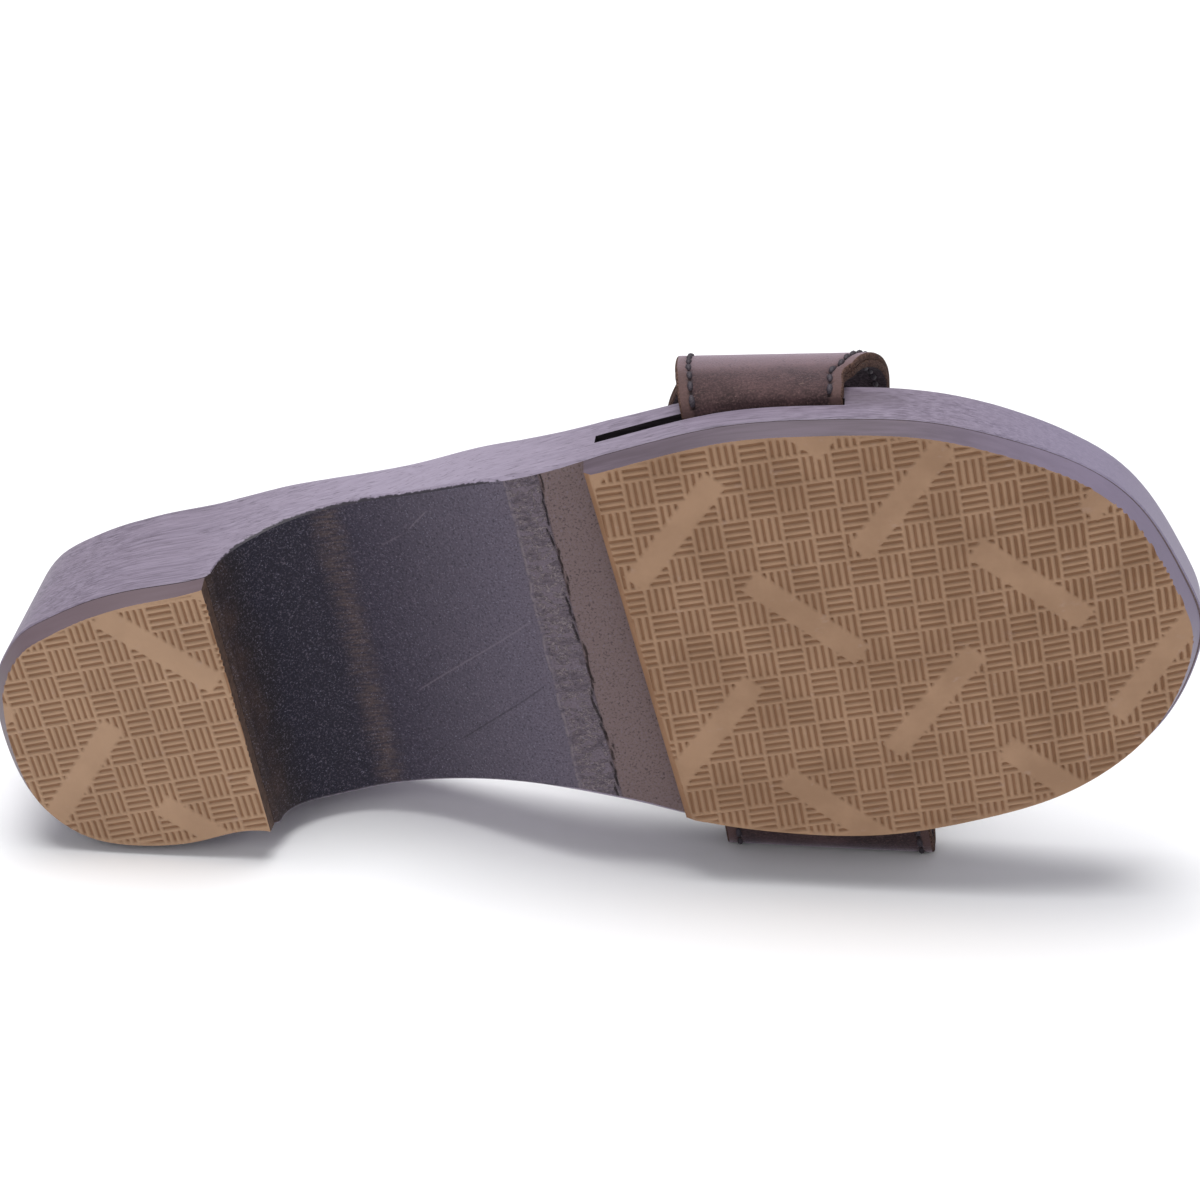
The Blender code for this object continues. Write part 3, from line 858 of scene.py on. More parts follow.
def patch_share(u, v, starts):
    """1 on the smooth patches: bars at 45 degrees on two square lattices, one for each way that they lean."""
    share = np.zeros_like(u)
    for start, way in zip(starts, (-1.0, 1.0)):
        near_u = ((u - start[0]) / PATCH_PITCH + 0.5) % 1 - 0.5
        near_v = ((v - start[1]) / PATCH_PITCH + 0.5) % 1 - 0.5
        along = np.abs(near_u + way * near_v) * PATCH_PITCH / np.sqrt(2)
        aside = np.abs(near_u - way * near_v) * PATCH_PITCH / np.sqrt(2)
        outside = np.maximum(along - PATCH_LENGTH / 2, aside - PATCH_WIDTH / 2)
        share = np.maximum(share, np.clip(0.5 - outside / PATCH_SOFTNESS, 0, 1))
    return share


def edge_share(x, y):
    """0 at the lower edge of the tread's sides, rising to 1 over the fade: grooves run out at the edge."""
    inset = np.interp(x, EDGES[:, 0], EDGES[:, 1])
    inside = np.minimum(y - outline_y(x, 1), outline_y(x, 2) - y) - inset
    return np.clip(inside / EDGE_FADE, 0, 1)


def weave_lines(low, high, start, block_size):
    """Grid lines between two limits, with each line's share of groove, share of rib end and block number."""
    first, last = np.floor((low - start) / block_size), np.ceil((high - start) / block_size)
    block = np.repeat(np.arange(first, last), STEPS)
    rib = np.tile(np.repeat(np.arange(RIBS), len(STEP_PLACES)), int(last - first))
    place = (rib + np.tile(STEP_PLACES, len(block) // len(STEP_PLACES))) / RIBS
    groove = np.tile(GROOVE_PROFILE, len(block) // len(STEP_PLACES))
    ends = np.clip((0.5 - np.abs(place - 0.5) - RIB_END) / RIB_RISE, 0, 1)
    return start + (block + place) * block_size, groove, ends, block


def weave_block(name, middle, reach, turn, block_size, start, patch_starts, finishes):
    """Closed block of rubber whose lower face is the weave, lifted towards the toe, and whose top is flat."""
    u, u_groove, u_ends, u_block = weave_lines(-reach[0], reach[0], start[0], block_size)
    v, v_groove, v_ends, v_block = weave_lines(-reach[1], reach[1], start[1], block_size)
    turned = (u_block[:, None] + v_block[None, :]) % 2
    depth = np.where(turned == 0, u_ends[:, None] * v_groove, u_groove[:, None] * v_ends)
    grid_u, grid_v = np.meshgrid(u, v, indexing="ij")
    x = middle[0] + grid_u * cos(turn) - grid_v * sin(turn)
    y = middle[1] + grid_u * sin(turn) + grid_v * cos(turn)
    depth = depth * (1 - patch_share(grid_u, grid_v, patch_starts)) * edge_share(x, y)
    lower = np.stack([x, y, toe_lift(x) + GROOVE_DEPTH * depth], axis=-1)
    rows, columns = x.shape
    upper = lower[[0, -1, -1, 0], [0, 0, -1, -1]] + (0.0, 0.0, BLOCK_HEIGHT)
    number = np.arange(rows * columns).reshape(rows, columns)
    top = rows * columns + np.arange(4)
    walls = [
        [*number[:, 0], top[1], top[0]],
        [*number[-1, :], top[2], top[1]],
        [*number[::-1, -1], top[3], top[2]],
        [*number[0, ::-1], top[0], top[3]],
    ]
    faces = [*grid_quads(rows, columns).tolist(), *walls, top.tolist()]
    return add_piece(name, np.concatenate([lower.reshape(-1, 3), upper]), faces, finishes)


print("a rib and its groove have", len(STEP_PLACES), "steps, a block", STEPS)

# %% [markdown]
# Cut the treads to shape
#
# A maker cuts the treads from a patterned sheet, so the ribs run out at the edge wherever the knife
# went. The same is done here: a block of weave is intersected with the tread's outline, drawn as a
# closed form whose sides slope out to the wood. The outline reaches a little below the floor, so that
# only the weave makes the lower face. At the rear of the ball tread a bevel takes the edge off.

# %% Tread outline
BEVEL_LENGTH = 1.6
BEVEL_DEPTH = 1.2
BELOW = 1.0
TREAD_STEPS = 10


def tread_form(name, keep, bevelled, finishes):
    """Closed form of a tread through its stations: lower edge drawn in by an inset, top along the wood."""
    station = STATIONS[keep]
    outer, outer_normal, inner, inner_normal = (side[keep] for side in crosswise_lines(STATIONS))
    inset, width = (np.interp(station, EDGES[:, 0], EDGES[:, k]) for k in (1, 2))
    inset = np.maximum(inset, width)
    top = underside_z(station) - GLUE_GAP
    low = top - TREAD_THICKNESS - BELOW
    if bevelled:
        behind = 1 - (station - station[0]) / BEVEL_LENGTH
        low = np.maximum(low, top - TREAD_THICKNESS + BEVEL_DEPTH * behind)
    spread = inset + (inset - width) * (top - TREAD_THICKNESS - low) / TREAD_THICKNESS
    corners = [
        offset_points(outer, outer_normal, spread, low),
        offset_points(inner, inner_normal, spread, low),
        offset_points(inner, inner_normal, width, top),
        offset_points(outer, outer_normal, width, top),
    ]
    _, low_row = across(corners[0], corners[1], TREAD_STEPS)
    _, top_row = across(corners[2], corners[3], TREAD_STEPS)
    edges = [corner[:, None] for corner in corners]
    loops = np.concatenate([edges[0], low_row, edges[1], edges[2], top_row, edges[3]], axis=1)
    rows, around = loops.shape[:2]
    kinds = np.tile(np.repeat([0, 1], [TREAD_STEPS, TREAD_STEPS + 2]), rows - 1)
    cut_row = 0 if bevelled else rows - 1
    cut_end = list(range(cut_row * around, (cut_row + 1) * around))
    faces = [*grid_quads(rows, around, closed=True).tolist(), cut_end]
    return add_piece(name, loops, faces, finishes, [*kinds, 0 if bevelled else 2])


print("the bevel takes off", BEVEL_DEPTH, "mm of", TREAD_THICKNESS)

# %% [markdown]
# Rubber
#
# The rubber is tan and dull, darker on the floors of the grooves, where dust and shadow gather, and
# paler on the heel and on rib tops that have been rubbed. The depth below the tread's own face is worked
# out from z and the toe spring. The cut sides were brushed with the wood's stain, are darkest under the
# strap, partly as painted shade of the strap, and paler at the toe. The front end of the heel tread is
# dark brown. Both have finishes of their own.

# %% Rubber finishes
HEEL_FADE = 20.0
PALE_TOE_X = (185.0, 240.0)


def on_heel(x):
    """1 on the heel, falling to 0 over a short way in front of it."""
    return step(BREAST_X - x, -HEEL_FADE, 0.0)


def tread_finish():
    """Mottled tan, paler on the heel and where rubbed, darker down in the grooves, with specks of dust."""
    finish = Finish("tan_rubber_tread", Specular_IOR_Level=0.35)
    place = shoe_place(finish)
    x, z = (axis(place, name) for name in "XZ")
    ahead = (x - ROCKER_X) / (SOLE_LENGTH - ROCKER_X)
    depth = z - TOE_SPRING * ahead.math("MAXIMUM", 0.0) ** 2.0
    mottle = noise(place, (14.0, 14.0, 14.0), 4.0, 0.6)
    dust = noise(place, (0.35, 0.35, 0.35), 3.0, 0.7)
    rubbed = step(noise(place, (4.0, 2.5, 3.0), 4.0, 0.6), 0.6, 0.78)
    colour = paint(
        tone(146, 114, 88),
        (step(mottle, 0.3, 0.72), 163, 130, 103),
        (on_heel(x) * 0.3, 190, 158, 130),
        (rubbed * 0.4, 168, 143, 132),
        (step(depth, 0.25, GROOVE_DEPTH) * 0.6, 130, 90, 60),
        (step(dust, 0.72, 0.8) * 0.6, 196, 176, 160),
    )
    return finish.feed(Base_Color=colour, Roughness=0.55 + mottle * 0.2, Normal=bump(dust, 0.05))


def tread_side_finish():
    """Brushed stain, darkest under the strap as partly painted shade, paler at the toe and browner on the
    heel, with worn spots.
    """
    finish = Finish("stained_rubber_edge", Specular_IOR_Level=0.4)
    place = shoe_place(finish)
    x = axis(place, "X")
    brushed = noise(place, (24.0, 3.0, 1.6), 4.0, 0.55)
    worn = step(noise(place, (7.0, 5.0, 1.2), 4.0, 0.6), 0.62, 0.75)
    # The dark base shows under the strap, where neither the toe nor the heel coat reaches: stain, partly
    # painted shade of the strap.
    colour = paint(
        tone(76, 62, 73),
        (step(brushed, 0.3, 0.7), 93, 79, 92),
        (step(x, *PALE_TOE_X) * 0.7, 134, 124, 146),
        (on_heel(x) * 0.6, 108, 91, 95),
        (worn * 0.25, 106, 88, 82),
    )
    return finish.feed(Base_Color=colour, Roughness=0.45 + brushed * 0.15, Normal=bump(brushed, 0.05))


def tread_end_finish():
    """Dark brown over gritty rubber, with paler worn patches here and there."""
    finish = Finish("dark_rubber_end", Specular_IOR_Level=0.3)
    place = shoe_place(finish)
    grit = noise(place, (0.6, 1.2, 0.6), 4.0, 0.65)
    worn = step(noise(place, (2.0, 4.0, 1.0)), 0.58, 0.7)
    colour = paint(tone(62, 48, 43), (step(grit, 0.3, 0.7), 98, 77, 67), (worn * 0.35, 118, 92, 74))
    return finish.feed(Base_Color=colour, Roughness=0.65 + grit * 0.2, Normal=bump(grit, 0.2))


rubber_finishes = [tread_finish(), tread_side_finish(), tread_end_finish()]
print("rubber finishes:", [finish.name for finish in rubber_finishes])

# %% [markdown]
# Put the treads together
#
# Each tread is a sheet of weave cut by its outline. The sheets lie a little turned under the shoe, as
# they were glued. The shading is smooth over the ribs but breaks wherever two finishes meet, since a
# knife leaves a sharp edge.

# %% Tread pieces
TREAD_SHARP_TURN = 62.0
SHEETS = {
    # middle and half sizes of a sheet, its turn, size of a block, first block, first patch of each way
    "forefoot_tread": {
        "middle": (192.0, 3.0),
        "reach": (62.0, 52.0),
        "turn": radians(-0.9),
        "block_size": 5.84,
        "start": (-10.8, -7.0),
        "patch_starts": ((-43.5, -29.8), (-21.0, -7.3)),
    },
    "heel_tread": {
        "middle": (26.0, 3.0),
        "reach": (32.0, 34.0),
        "turn": radians(-2.8),
        "block_size": 5.73,
        "start": (-3.3, -10.4),
        "patch_starts": ((-10.2, 7.4), (14.0, -17.6)),
    },
}


def sharpen_cut_edges(mesh):
    """Sharp edges where two finishes meet: the lowest and highest finish number beside each edge differ."""
    edge = np.empty(len(mesh.loops), dtype=np.int32)
    kind = np.empty(len(mesh.polygons), dtype=np.int32)
    corners = np.empty(len(mesh.polygons), dtype=np.int32)
    is_sharp = np.empty(len(mesh.edges), dtype=bool)
    mesh.loops.foreach_get("edge_index", edge)
    mesh.polygons.foreach_get("material_index", kind)
    mesh.polygons.foreach_get("loop_total", corners)
    mesh.edges.foreach_get("use_edge_sharp", is_sharp)
    lowest = np.full(len(mesh.edges), kind.max())
    highest = np.full(len(mesh.edges), kind.min())
    np.minimum.at(lowest, edge, np.repeat(kind, corners))
    np.maximum.at(highest, edge, np.repeat(kind, corners))
    mesh.edges.foreach_set("use_edge_sharp", is_sharp | (lowest < highest))


for node, sheet in SHEETS.items():
    at_ball = node == "forefoot_tread"
    keep = STATIONS >= TREAD_REAR_X if at_ball else STATIONS <= BREAST_X
    weave = weave_block("weave", **sheet, finishes=rubber_finishes)
    form = tread_form("form", keep, at_ball, rubber_finishes)
    way = {"solver": "MANIFOLD", "sharp": TREAD_SHARP_TURN}
    tread = cut_piece(node + "_ribbed", form, "INTERSECT", weave, **way)
    sharpen_cut_edges(tread.data)
    settle(tread, "tan_rubber", node)

# %% [markdown]
# The strap
#
# The upper is one band of thick leather with a lining. It comes out of the outer slot, bends up, crosses
# the foot in two quarter ellipses, comes down flat on the inner side and bends into the other slot. Its
# middle surface is a function of the place on that path and of the share from its rear to its front
# edge. A closed profile is carried over it: outer face, front edge, lining, rear edge. The profile dips
# at the seams, where the thread pulls the leather in, and has a fine groove in the cut edge where
# leather and lining are glued.

# %% Middle surface of the strap
STRAP_THICKNESS = 3.0
STRAP_TOP_REAR = 68.0
STRAP_TOP_FRONT = 60.0
STRAP_PEAK_Y = 6.0
STRAP_TUCK = 13.8
STRAP_LEAVE = 0.8
STRAP_BEND_HEIGHT = 10.0
STRAP_INNER_BEND_HEIGHT = 5.0
STRAP_SIDE_Y_REAR = -50.4
STRAP_SIDE_Y_FRONT = -46.0
STRAP_SIDE_TOP = 38.0
RUNS = 7
STRAP_EDGES = np.array([
    # place on the path, rear x, front x
    (0.0, 152.0, 184.0),
    (1.0, 152.0, 184.0),
    (1.5, 151.6, 184.4),
    (2.0, 151.0, 186.6),
    (2.25, 150.4, 191.2),
    (2.4, 149.0, 192.4),
    (2.55, 144.4, 191.6),
    (2.7, 142.8, 190.4),
    (3.0, 142.5, 189.4),
    (4.0, 144.0, 189.0),
    (5.0, 145.4, 189.0),
    (6.0, 146.0, 188.5),
    (7.0, 146.0, 188.5),
])
HEEL_SAMPLES = 200
heel_x = np.linspace(0, BREAST_X, HEEL_SAMPLES)
FLOOR_REACH = np.max(outline_y(heel_x, 2) * cos(LYING_TURN) - heel_x * sin(LYING_TURN))


def strap_edges(place):
    """Rear and front edge of the strap, as x at each place on its path."""
    return (spline(STRAP_EDGES[:, 0], STRAP_EDGES[:, k], place) for k in (1, 2))


def strap_middle(place, x, share):
    """Middle surface: slot, quarter ellipse, two over the foot, flat side, quarter ellipse, slot."""
    outer = outline_y(x, 1) - STRAP_LEAVE
    inner = outline_y(x, 2) + STRAP_LEAVE
    floor = (FLOOR_REACH - STRAP_THICKNESS / 2 + x * sin(LYING_TURN)) / cos(LYING_TURN)
    side_y = STRAP_SIDE_Y_REAR + (STRAP_SIDE_Y_FRONT - STRAP_SIDE_Y_REAR) * share
    peak = STRAP_TOP_REAR + (STRAP_TOP_FRONT - STRAP_TOP_REAR) * share - STRAP_THICKNESS / 2
    bend_top = SLOT_Z + STRAP_BEND_HEIGHT
    side_foot = SLOT_Z + STRAP_INNER_BEND_HEIGHT
    run = np.clip(np.ceil(place) - 1, 0, RUNS - 1)
    share_of_run = place - run
    turn = share_of_run * pi / 2
    runs = [
        (outer + STRAP_TUCK * (1 - share_of_run), SLOT_Z + 0 * place),
        (outer + (side_y - outer) * np.sin(turn), SLOT_Z + STRAP_BEND_HEIGHT * (1 - np.cos(turn))),
        (STRAP_PEAK_Y + (side_y - STRAP_PEAK_Y) * np.cos(turn), bend_top + (peak - bend_top) * np.sin(turn)),
        (STRAP_PEAK_Y + (floor - STRAP_PEAK_Y) * np.sin(turn),
         STRAP_SIDE_TOP + (peak - STRAP_SIDE_TOP) * np.cos(turn)),
        (floor, STRAP_SIDE_TOP + (side_foot - STRAP_SIDE_TOP) * share_of_run),
        (inner + (floor - inner) * np.cos(turn), SLOT_Z + STRAP_INNER_BEND_HEIGHT * (1 - np.sin(turn))),
        (inner - STRAP_TUCK * share_of_run, SLOT_Z + 0 * place),
    ]
    on_run = [run == number for number in range(RUNS)]
    y, z = (np.select(on_run, list(values)) for values in zip(*runs))
    return np.stack([x, y, z], axis=-1)


print("the inner side of the heel reaches", round(float(FLOOR_REACH), 2), "mm towards the floor")

# %% Profile of the strap
SEAM_INSET = 2.7
SEAM_DIP = 0.28
SEAM_WIDTH = 0.5
LINING_DIP = 0.5
EDGE_ZONE = 5.0
FACE_STEPS = 25
NUDGE = 0.002
HALF = STRAP_THICKNESS / 2
FACE_INSETS = np.array([0.45, 0.9, 1.4, 1.9, 2.25, 2.5, 2.7, 2.9, 3.15, 3.5, 4.1])
EDGE_PROFILE = np.array([
    # inset from the cut edge, height over the middle surface
    (0.14, HALF - 0.14),
    (0.0, HALF - 0.45),
    (0.0, 0.45),
    (0.04, 0.25),
    (0.24, 0.1),
    (0.04, -0.05),
    (0.0, -0.25),
    (0.0, 0.45 - HALF),
    (0.14, 0.14 - HALF),
])
PATH_STEPS = (12, 60, 140, 140, 44, 60, 12)


def profile_columns():
    """Closed profile as edge share, shift in millimetres and height, and the finish of each stretch.

    A column lies at its share of the width plus its shift: on the middle of a face the share runs from 0 to 1.
    """
    inner_share = np.linspace(0, 1, FACE_STEPS + 1)
    rear = [(0.0, inset) for inset in FACE_INSETS]
    centre = [(share, EDGE_ZONE * (1 - 2 * share)) for share in inner_share]
    front = [(1.0, -inset) for inset in FACE_INSETS[::-1]]
    face = np.array([*rear, *centre, *front])
    near_edge = np.isin(face[:, 0], (0.0, 1.0)) & (np.abs(face[:, 1]) < EDGE_ZONE)
    dip = SEAM_DIP * near_edge * np.exp(-((np.abs(face[:, 1]) - SEAM_INSET) / SEAM_WIDTH) ** 2)
    outside = np.column_stack([face, HALF - dip])
    lining = np.column_stack([face[::-1], -HALF + LINING_DIP * dip[::-1]])
    front_edge = np.column_stack([np.ones(len(EDGE_PROFILE)), -EDGE_PROFILE[:, 0], EDGE_PROFILE[:, 1]])
    rear_edge = np.column_stack([np.zeros(len(EDGE_PROFILE)), EDGE_PROFILE[::-1, 0], EDGE_PROFILE[::-1, 1]])
    columns = np.concatenate([outside, front_edge, lining, rear_edge])
    counts = (len(face) - 1, len(EDGE_PROFILE) + 1)
    return columns, np.repeat([0, 1, 2, 1], [*counts, *counts])


def unit(vectors):
    """Vectors of length one."""
    return vectors / np.linalg.norm(vectors, axis=-1, keepdims=True)


def strap_grid(place, share, shift):
    """Points of the middle surface at places by columns, and their outward directions."""
    rear, front = (edge[:, None] for edge in strap_edges(place))
    x = rear + (front - rear) * share[None, :] + shift[None, :]
    column = (x - rear) / (front - rear)
    spots = np.broadcast_to(place[:, None], x.shape)
    middle = strap_middle(spots, x, column)
    before = strap_middle(np.clip(spots - NUDGE, 0, RUNS), x, column)
    after = strap_middle(np.clip(spots + NUDGE, 0, RUNS), x, column)
    aside = strap_middle(spots, x + NUDGE, column + NUDGE / (front - rear))
    return middle, unit(np.cross(aside - middle, unit(after - before)))


run_places = [run + np.linspace(0, 1, count + 1) for run, count in enumerate(PATH_STEPS)]
place = np.unique(np.concatenate(run_places))
strap_columns, strap_kinds = profile_columns()
middle, outwards = strap_grid(place, strap_columns[:, 0], strap_columns[:, 1])
print("strap grid:", middle.shape[:2], "points along and around")

# %% [markdown]
# Seams
#
# Both edges are sewn with a thick waxed thread, one long stitch after another, each vanishing into its
# hole. The holes show as dark dots and as small dents in the leather. Their places are even steps along
# the seam's own length, so the line is measured first, and strap and thread both use it.

# %% Seam lines and holes
STITCH_PITCH = 3.7
SEAM_SPAN = (1.04, 5.96)
SEAM_SAMPLES = 4000
HOLE_REACH = 0.6
FACE_MARGIN = 0.01
seam_place = np.linspace(*SEAM_SPAN, SEAM_SAMPLES)


def seam_line(share, side):
    """Line of a seam on one face of the strap, with its outward directions and its length up to each point."""
    shift = np.array([SEAM_INSET if share == 0 else -SEAM_INSET])
    spot, out = strap_grid(seam_place, np.array([float(share)]), shift)
    line = spot[:, 0] + side * out[:, 0] * (HALF - SEAM_DIP)
    length = np.concatenate([[0.0], np.cumsum(np.linalg.norm(np.diff(line, axis=0), axis=1))])
    return line, side * out[:, 0], length


def hole_nearness(share):
    """For each place on the path, 1 at a hole of the seam and 0 between holes."""
    _, _, length = seam_line(share, 1.0)
    here = np.interp(place, seam_place, length)
    away = np.abs((here / STITCH_PITCH + 0.5) % 1 - 0.5) * STITCH_PITCH
    return np.exp(-(away / HOLE_REACH) ** 2) * ((place > SEAM_SPAN[0]) & (place < SEAM_SPAN[1]))


outer_face = strap_columns[:, 2] > HALF - SEAM_DIP - FACE_MARGIN
on_border = outer_face & np.isin(strap_columns[:, 0], (0.0, 1.0))
rear_holes, front_holes = (hole_nearness(share)[:, None] for share in (0, 1))
nearness = np.where(strap_columns[None, :, 0] < 0.5, rear_holes, front_holes)
beside = np.exp(-((np.abs(strap_columns[:, 1]) - SEAM_INSET) / SEAM_WIDTH) ** 2) * on_border
hole = nearness * beside[None, :]
print("stitches on the rear seam:", int(seam_line(0, 1.0)[2][-1] / STITCH_PITCH))

# %% [markdown]
# Leather, lining and thread
#
# The outside is nubuck: ground leather with a short nap, dull, with a soft sheen at grazing angles. It
# is mottled, paler where it bends over the outer side of the foot, partly rubbed and partly a painted
# highlight, paler along the edges outside the seams, and marked by fine scratches. The cut edge shows
# raw fibres, and the lining is dark and fuzzy. The thread is waxed and almost black.

# %% Leather finishes
def nubuck_finish():
    """Mottled brown, rubbed and painted with a highlight at the bend, specked by the nap, scratched, with
    paler borders and dark holes.
    """
    sheen = {"Sheen_Weight": 0.9, "Sheen_Roughness": 0.35, "Sheen_Tint": tone(226, 214, 232)}
    finish = Finish("brown_nubuck", Specular_IOR_Level=0.25, **sheen)
    place = shoe_place(finish)
    mottle = noise(place, (9.0, 9.0, 9.0), 4.0, 0.6)
    nap = noise(place, (0.45, 0.45, 0.45), 3.0, 0.7)
    scratch = step(noise(place, (3.5, 0.5, 2.0), 3.0, 0.6), 0.66, 0.74)
    colour = paint(
        tone(48, 33, 34),
        (step(mottle, 0.3, 0.7), 76, 55, 56),
        # Paler over the outer bend: partly rubbing, partly a painted highlight.
        (attribute(finish, "rubbed") * 0.7, 158, 134, 141),
        (step(0.48 - nap, 0.0, 0.16) * 0.5, 34, 24, 25),
        (step(nap, 0.45, 0.7) * 0.4, 112, 87, 86),
        (scratch * 0.35, 126, 104, 96),
        (step(nap, 0.68, 0.76) * 0.6, 150, 126, 116),
        (attribute(finish, "border") * 0.5, 104, 80, 76),
        (attribute(finish, "hole"), 20, 15, 16),
    )
    relief = bump(nap * 0.7 + mottle * 0.3, 0.12)
    return finish.feed(Base_Color=colour, Roughness=0.72 + nap * 0.2, Normal=relief)


def raw_edge_finish():
    """Pale and dark fibres, with darker layers."""
    finish = Finish("raw_leather_edge", Specular_IOR_Level=0.1)
    place = shoe_place(finish)
    fibre = noise(place, (0.4, 0.4, 0.4), 4.0, 0.75)
    layer = noise(place, (3.0, 3.0, 3.0))
    colour = paint(
        tone(56, 40, 37),
        (step(fibre, 0.35, 0.7), 120, 94, 84),
        (step(layer, 0.5, 0.7) * 0.4, 58, 42, 40),
    )
    return finish.feed(Base_Color=colour, Roughness=0.85 + fibre * 0.1, Normal=bump(fibre, 0.3))


def lining_finish():
    """Dark fuzz."""
    finish = Finish("dark_lining", Specular_IOR_Level=0.1)
    fibre = noise(shoe_place(finish), (0.6, 0.6, 0.6), 4.0, 0.7)
    colour = paint(tone(46, 40, 44), (step(fibre, 0.3, 0.75), 92, 81, 87))
    return finish.feed(Base_Color=colour, Roughness=0.85 + fibre * 0.1, Normal=bump(fibre, 0.2))


def thread_finish():
    """Dark strands under wax."""
    finish = Finish("waxed_thread", Specular_IOR_Level=0.4)
    strand = noise(shoe_place(finish), (0.25, 0.25, 0.25), 2.0)
    colour = paint(tone(42, 36, 42), (step(strand, 0.35, 0.65), 68, 59, 68))
    return finish.feed(Base_Color=colour, Roughness=0.5 + strand * 0.2, Normal=bump(strand, 0.08))


leather_finishes = [nubuck_finish(), raw_edge_finish(), lining_finish()]
waxed_thread = thread_finish()
print("leather and thread finishes:", [finish.name for finish in (*leather_finishes, waxed_thread)])

# %% [markdown]
# Put the strap together
#
# The profile's heights, less the dents at the holes, are added along the outward directions. Two flat
# faces close the ends inside the slots.

# %% Strap piece
HOLE_DENT = 0.3
# Place and reach on the path of the paler bend, partly rubbing and partly a painted highlight.
RUB_AND_HIGHLIGHT_PLACE = 2.25
RUB_AND_HIGHLIGHT_REACH = 0.3
BORDER_PAST_SEAM = 0.3
BORDER_FADE = 0.8
STRAP_SHARP_TURN = 50.0

height = np.broadcast_to(strap_columns[None, :, 2], hole.shape) - HOLE_DENT * hole
strap_points = middle + outwards * height[:, :, None]
rows, around = strap_points.shape[:2]
ends = [list(range(around)), list(range((rows - 1) * around, rows * around))]
strap_faces = [*grid_quads(rows, around, closed=True).tolist(), *ends]
strap_face_kinds = [*np.tile(strap_kinds, rows - 1), 1, 1]
near_edge = np.isin(strap_columns[:, 0], (0.0, 1.0))
inset_from_edge = np.where(near_edge, np.abs(strap_columns[:, 1]), EDGE_ZONE)
border = np.clip((SEAM_INSET + BORDER_PAST_SEAM - inset_from_edge) / BORDER_FADE, 0, 1)
# Paler over the outer bend of the strap: partly rubbing, partly a painted highlight.
rubbed = np.exp(-((place - RUB_AND_HIGHLIGHT_PLACE) / RUB_AND_HIGHLIGHT_REACH) ** 2)
strap_marks = {
    "hole": hole,
    "border": np.broadcast_to(border, hole.shape),
    "rubbed": np.broadcast_to(rubbed[:, None], hole.shape),
}
strap_look = {"kinds": strap_face_kinds, "sharp": STRAP_SHARP_TURN, "marks": strap_marks}
strap = add_piece("strap_leather", strap_points, strap_faces, leather_finishes, **strap_look)
settle(strap, "brown_leather", "strap")

# %% [markdown]
# Thread
#
# Each stitch is a short sausage of thread between two holes: it rises out of one, lies on the leather
# and dives into the next. All stitches of a seam are one array with four axes: stitch, step along, step
# around, coordinate. Where the shoe lies on the floor the stitches are pressed flat, so nothing reaches
# below it.

# %% Stitches
THREAD_RADIUS = 0.62
STITCH_SHARE = 0.72
THREAD_STEPS = 11
THREAD_AROUND = 8
THREAD_LIFT = 0.5
LIFT_POWER = 0.7
THREAD_SINK = 0.28
TAPER_POWER = 0.35
THREAD_SHARP_TURN = 80.0


def seam_stitches(share, side):
    """Tubes of all stitches of a seam: each arch is a power of a half sine, and so is its thickness."""
    line, out, length = seam_line(share, side)
    first = np.arange(int(length[-1] / STITCH_PITCH)) * STITCH_PITCH
    run = np.linspace(0, 1, THREAD_STEPS)
    reach = first[:, None] + STITCH_PITCH * (0.5 + STITCH_SHARE * (run[None, :] - 0.5))
    centre = np.stack([np.interp(reach, length, column) for column in line.T], axis=-1)
    up = unit(np.stack([np.interp(reach, length, column) for column in out.T], axis=-1))
    lift = THREAD_LIFT * np.sin(pi * run) ** LIFT_POWER - THREAD_SINK
    centre = centre + up * lift[None, :, None]
    forward = unit(np.gradient(centre, axis=1))
    sideways = unit(np.cross(up, forward))
    upwards = np.cross(forward, sideways)
    radius = THREAD_RADIUS * np.clip(np.sin(pi * run), 0, 1) ** TAPER_POWER
    angle = np.linspace(0, 2 * pi, THREAD_AROUND, endpoint=False)
    ring = np.cos(angle)[:, None] * sideways[:, :, None, :] + np.sin(angle)[:, None] * upwards[:, :, None, :]
    return centre[:, :, None, :] + radius[None, :, None, None] * ring


stitch_rows = [seam_stitches(share, side) for share in (0, 1) for side in (1.0, -1.0)]
stitches = np.concatenate(stitch_rows)
under_floor = np.minimum(lay_down(stitches)[..., 2:] / MM, 0)
stitches = stitches - under_floor * TURN[2]
one_stitch = grid_quads(THREAD_STEPS, THREAD_AROUND, closed=True)
numbers = np.arange(len(stitches))[:, None, None] * THREAD_STEPS * THREAD_AROUND
stitch_faces = (one_stitch[None] + numbers).reshape(-1, 4)
thread_look = {"finishes": [waxed_thread], "sharp": THREAD_SHARP_TURN}
thread = add_piece("strap_stitches", stitches, stitch_faces.tolist(), **thread_look)
settle(thread, None)
print(len(stitches), "stitches on both faces of both seams")

# %% [markdown]
# Camera
#
# The shoe is seen from below and a little above its lying side, by a lens of moderate length. The view
# is set by angles round the object, as a photographer would: azimuth, elevation, a slight roll, distance
# and focal length.

# %% Camera
VIEW_AZIMUTH = radians(3.935)
VIEW_ELEVATION = radians(25.841)
VIEW_ROLL = radians(0.847)
VIEW_DISTANCE = 604.6 * MM
VIEW_TARGET = np.array([0.272, 0.0, 48.234]) * MM
SENSOR = 36.0
IMAGE_PIXELS = 1200
FOCAL_PIXELS = 2838.1
NEAR_CLIP = 0.01

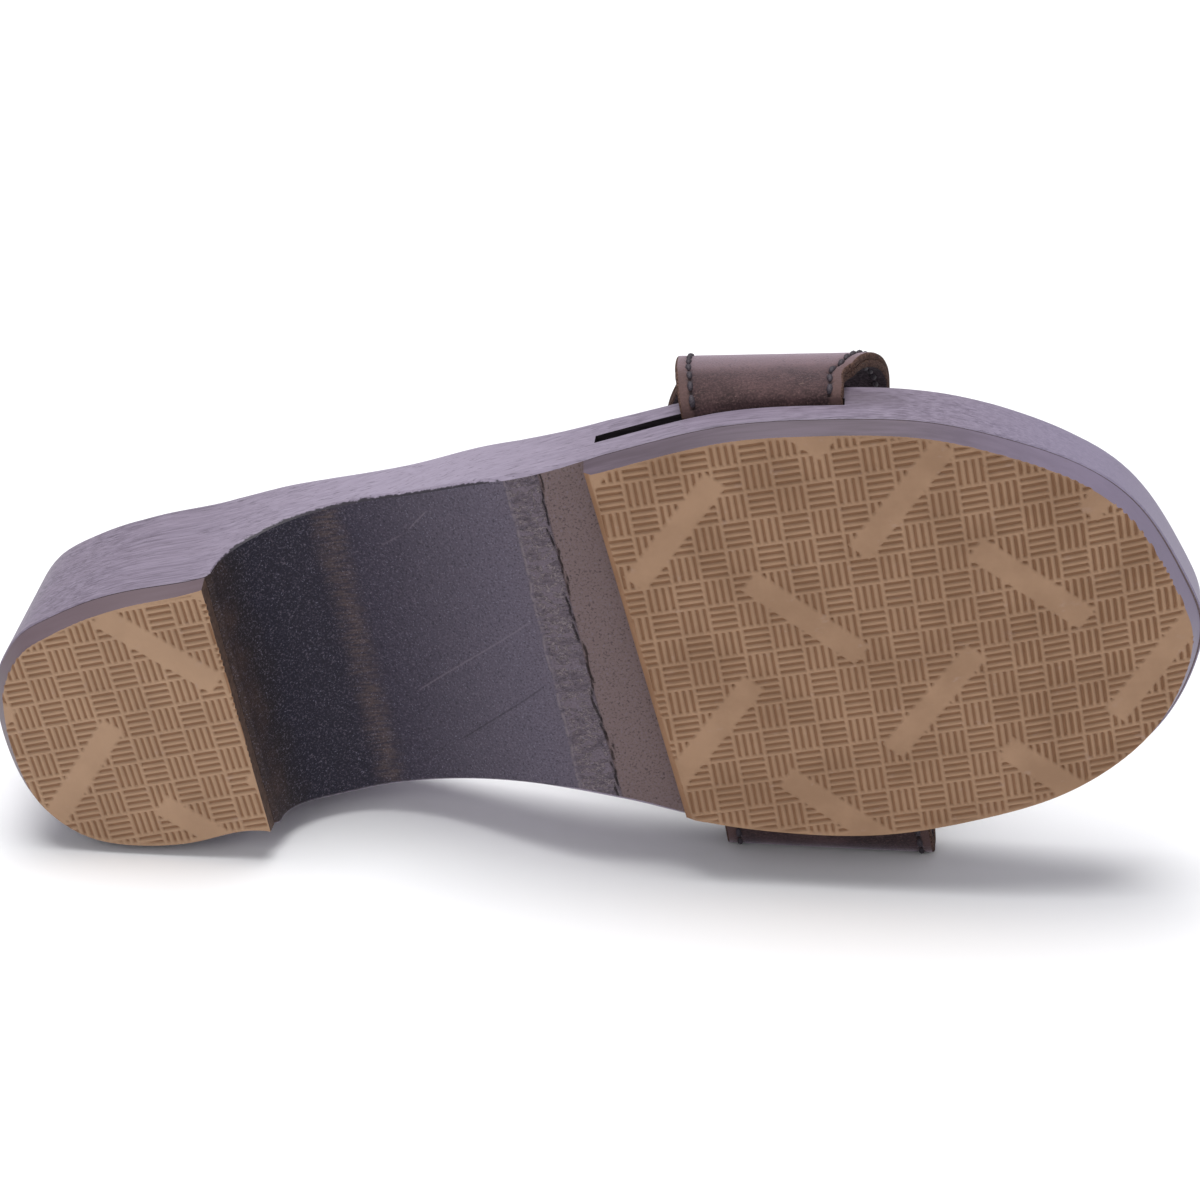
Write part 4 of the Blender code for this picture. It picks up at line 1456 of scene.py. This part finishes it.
toward = np.array([
    sin(VIEW_AZIMUTH) * cos(VIEW_ELEVATION),
    -cos(VIEW_AZIMUTH) * cos(VIEW_ELEVATION),
    sin(VIEW_ELEVATION),
])
level = unit(np.cross((0.0, 0.0, 1.0), toward))
upright = np.cross(toward, level)
right = cos(VIEW_ROLL) * level + sin(VIEW_ROLL) * upright
camera_data = bpy.data.cameras.new("camera")
camera_data.lens = FOCAL_PIXELS / IMAGE_PIXELS * SENSOR
camera_data.sensor_width = SENSOR
camera_data.clip_start = NEAR_CLIP
camera = bpy.data.objects.new("camera", camera_data)
placed = Matrix(np.column_stack([right, np.cross(toward, right), toward]).tolist()).to_4x4()
placed.translation = VIEW_TARGET + toward * VIEW_DISTANCE
camera.matrix_world = placed
bpy.context.scene.collection.objects.link(camera)
bpy.context.scene.camera = camera
print("lens in mm:", round(camera_data.lens, 1))

# %% [markdown]
# Floor and light
#
# A white paper floor and large soft lights give the even look of a catalogue. A big lamp above makes the
# upper side of the sole bright, a weak one in front and one at the side fill the underside, and the pale
# sky lifts the rest.

# %% Floor
FLOOR_HALF = 20.0
PAPER_COLOUR = (0.92, 0.92, 0.93, 1.0)

floor_mesh = bpy.data.meshes.new("floor")
corners = np.array([(-1, -1, 0), (1, -1, 0), (1, 1, 0), (-1, 1, 0)]) * FLOOR_HALF
floor_mesh.from_pydata(corners.tolist(), [], [(0, 1, 2, 3)])
floor_mesh.materials.append(Finish("paper", Roughness=0.9, Base_Color=PAPER_COLOUR).material)
floor = bpy.data.objects.new("floor", floor_mesh)
bpy.context.scene.collection.objects.link(floor)
print("paper floor:", 2 * FLOOR_HALF, "m wide")

# %% Lights
LAMPS = (
    # name, place in metres, size in metres, power in watts
    ("lamp_above", (-0.2, 0.2, 2.5), 1.8, 68.0),
    ("lamp_front", (-0.6, -1.3, 0.9), 1.0, 5.0),
    ("lamp_side", (1.3, -0.5, 0.7), 0.8, 3.0),
)
SKY_COLOUR = (0.95, 0.96, 1.0, 1.0)
SKY_STRENGTH = 0.3

for name, spot, size, power in LAMPS:
    lamp_data = bpy.data.lights.new(name, "AREA")
    lamp_data.size = size
    lamp_data.energy = power
    lamp = bpy.data.objects.new(name, lamp_data)
    back = unit(np.array(spot))
    aside = unit(np.cross((0.0, 0.0, 1.0), back))
    aim = Matrix(np.column_stack([aside, np.cross(back, aside), back]).tolist()).to_4x4()
    aim.translation = spot
    lamp.matrix_world = aim
    bpy.context.scene.collection.objects.link(lamp)

sky = bpy.data.worlds.new("pale_sky")
sky.use_nodes = True
background = sky.node_tree.nodes["Background"]
background.inputs["Color"].default_value = SKY_COLOUR
background.inputs["Strength"].default_value = SKY_STRENGTH
bpy.context.scene.world = sky
bpy.context.scene.view_settings.view_transform = "Standard"
print("lamps:", [row[0] for row in LAMPS])
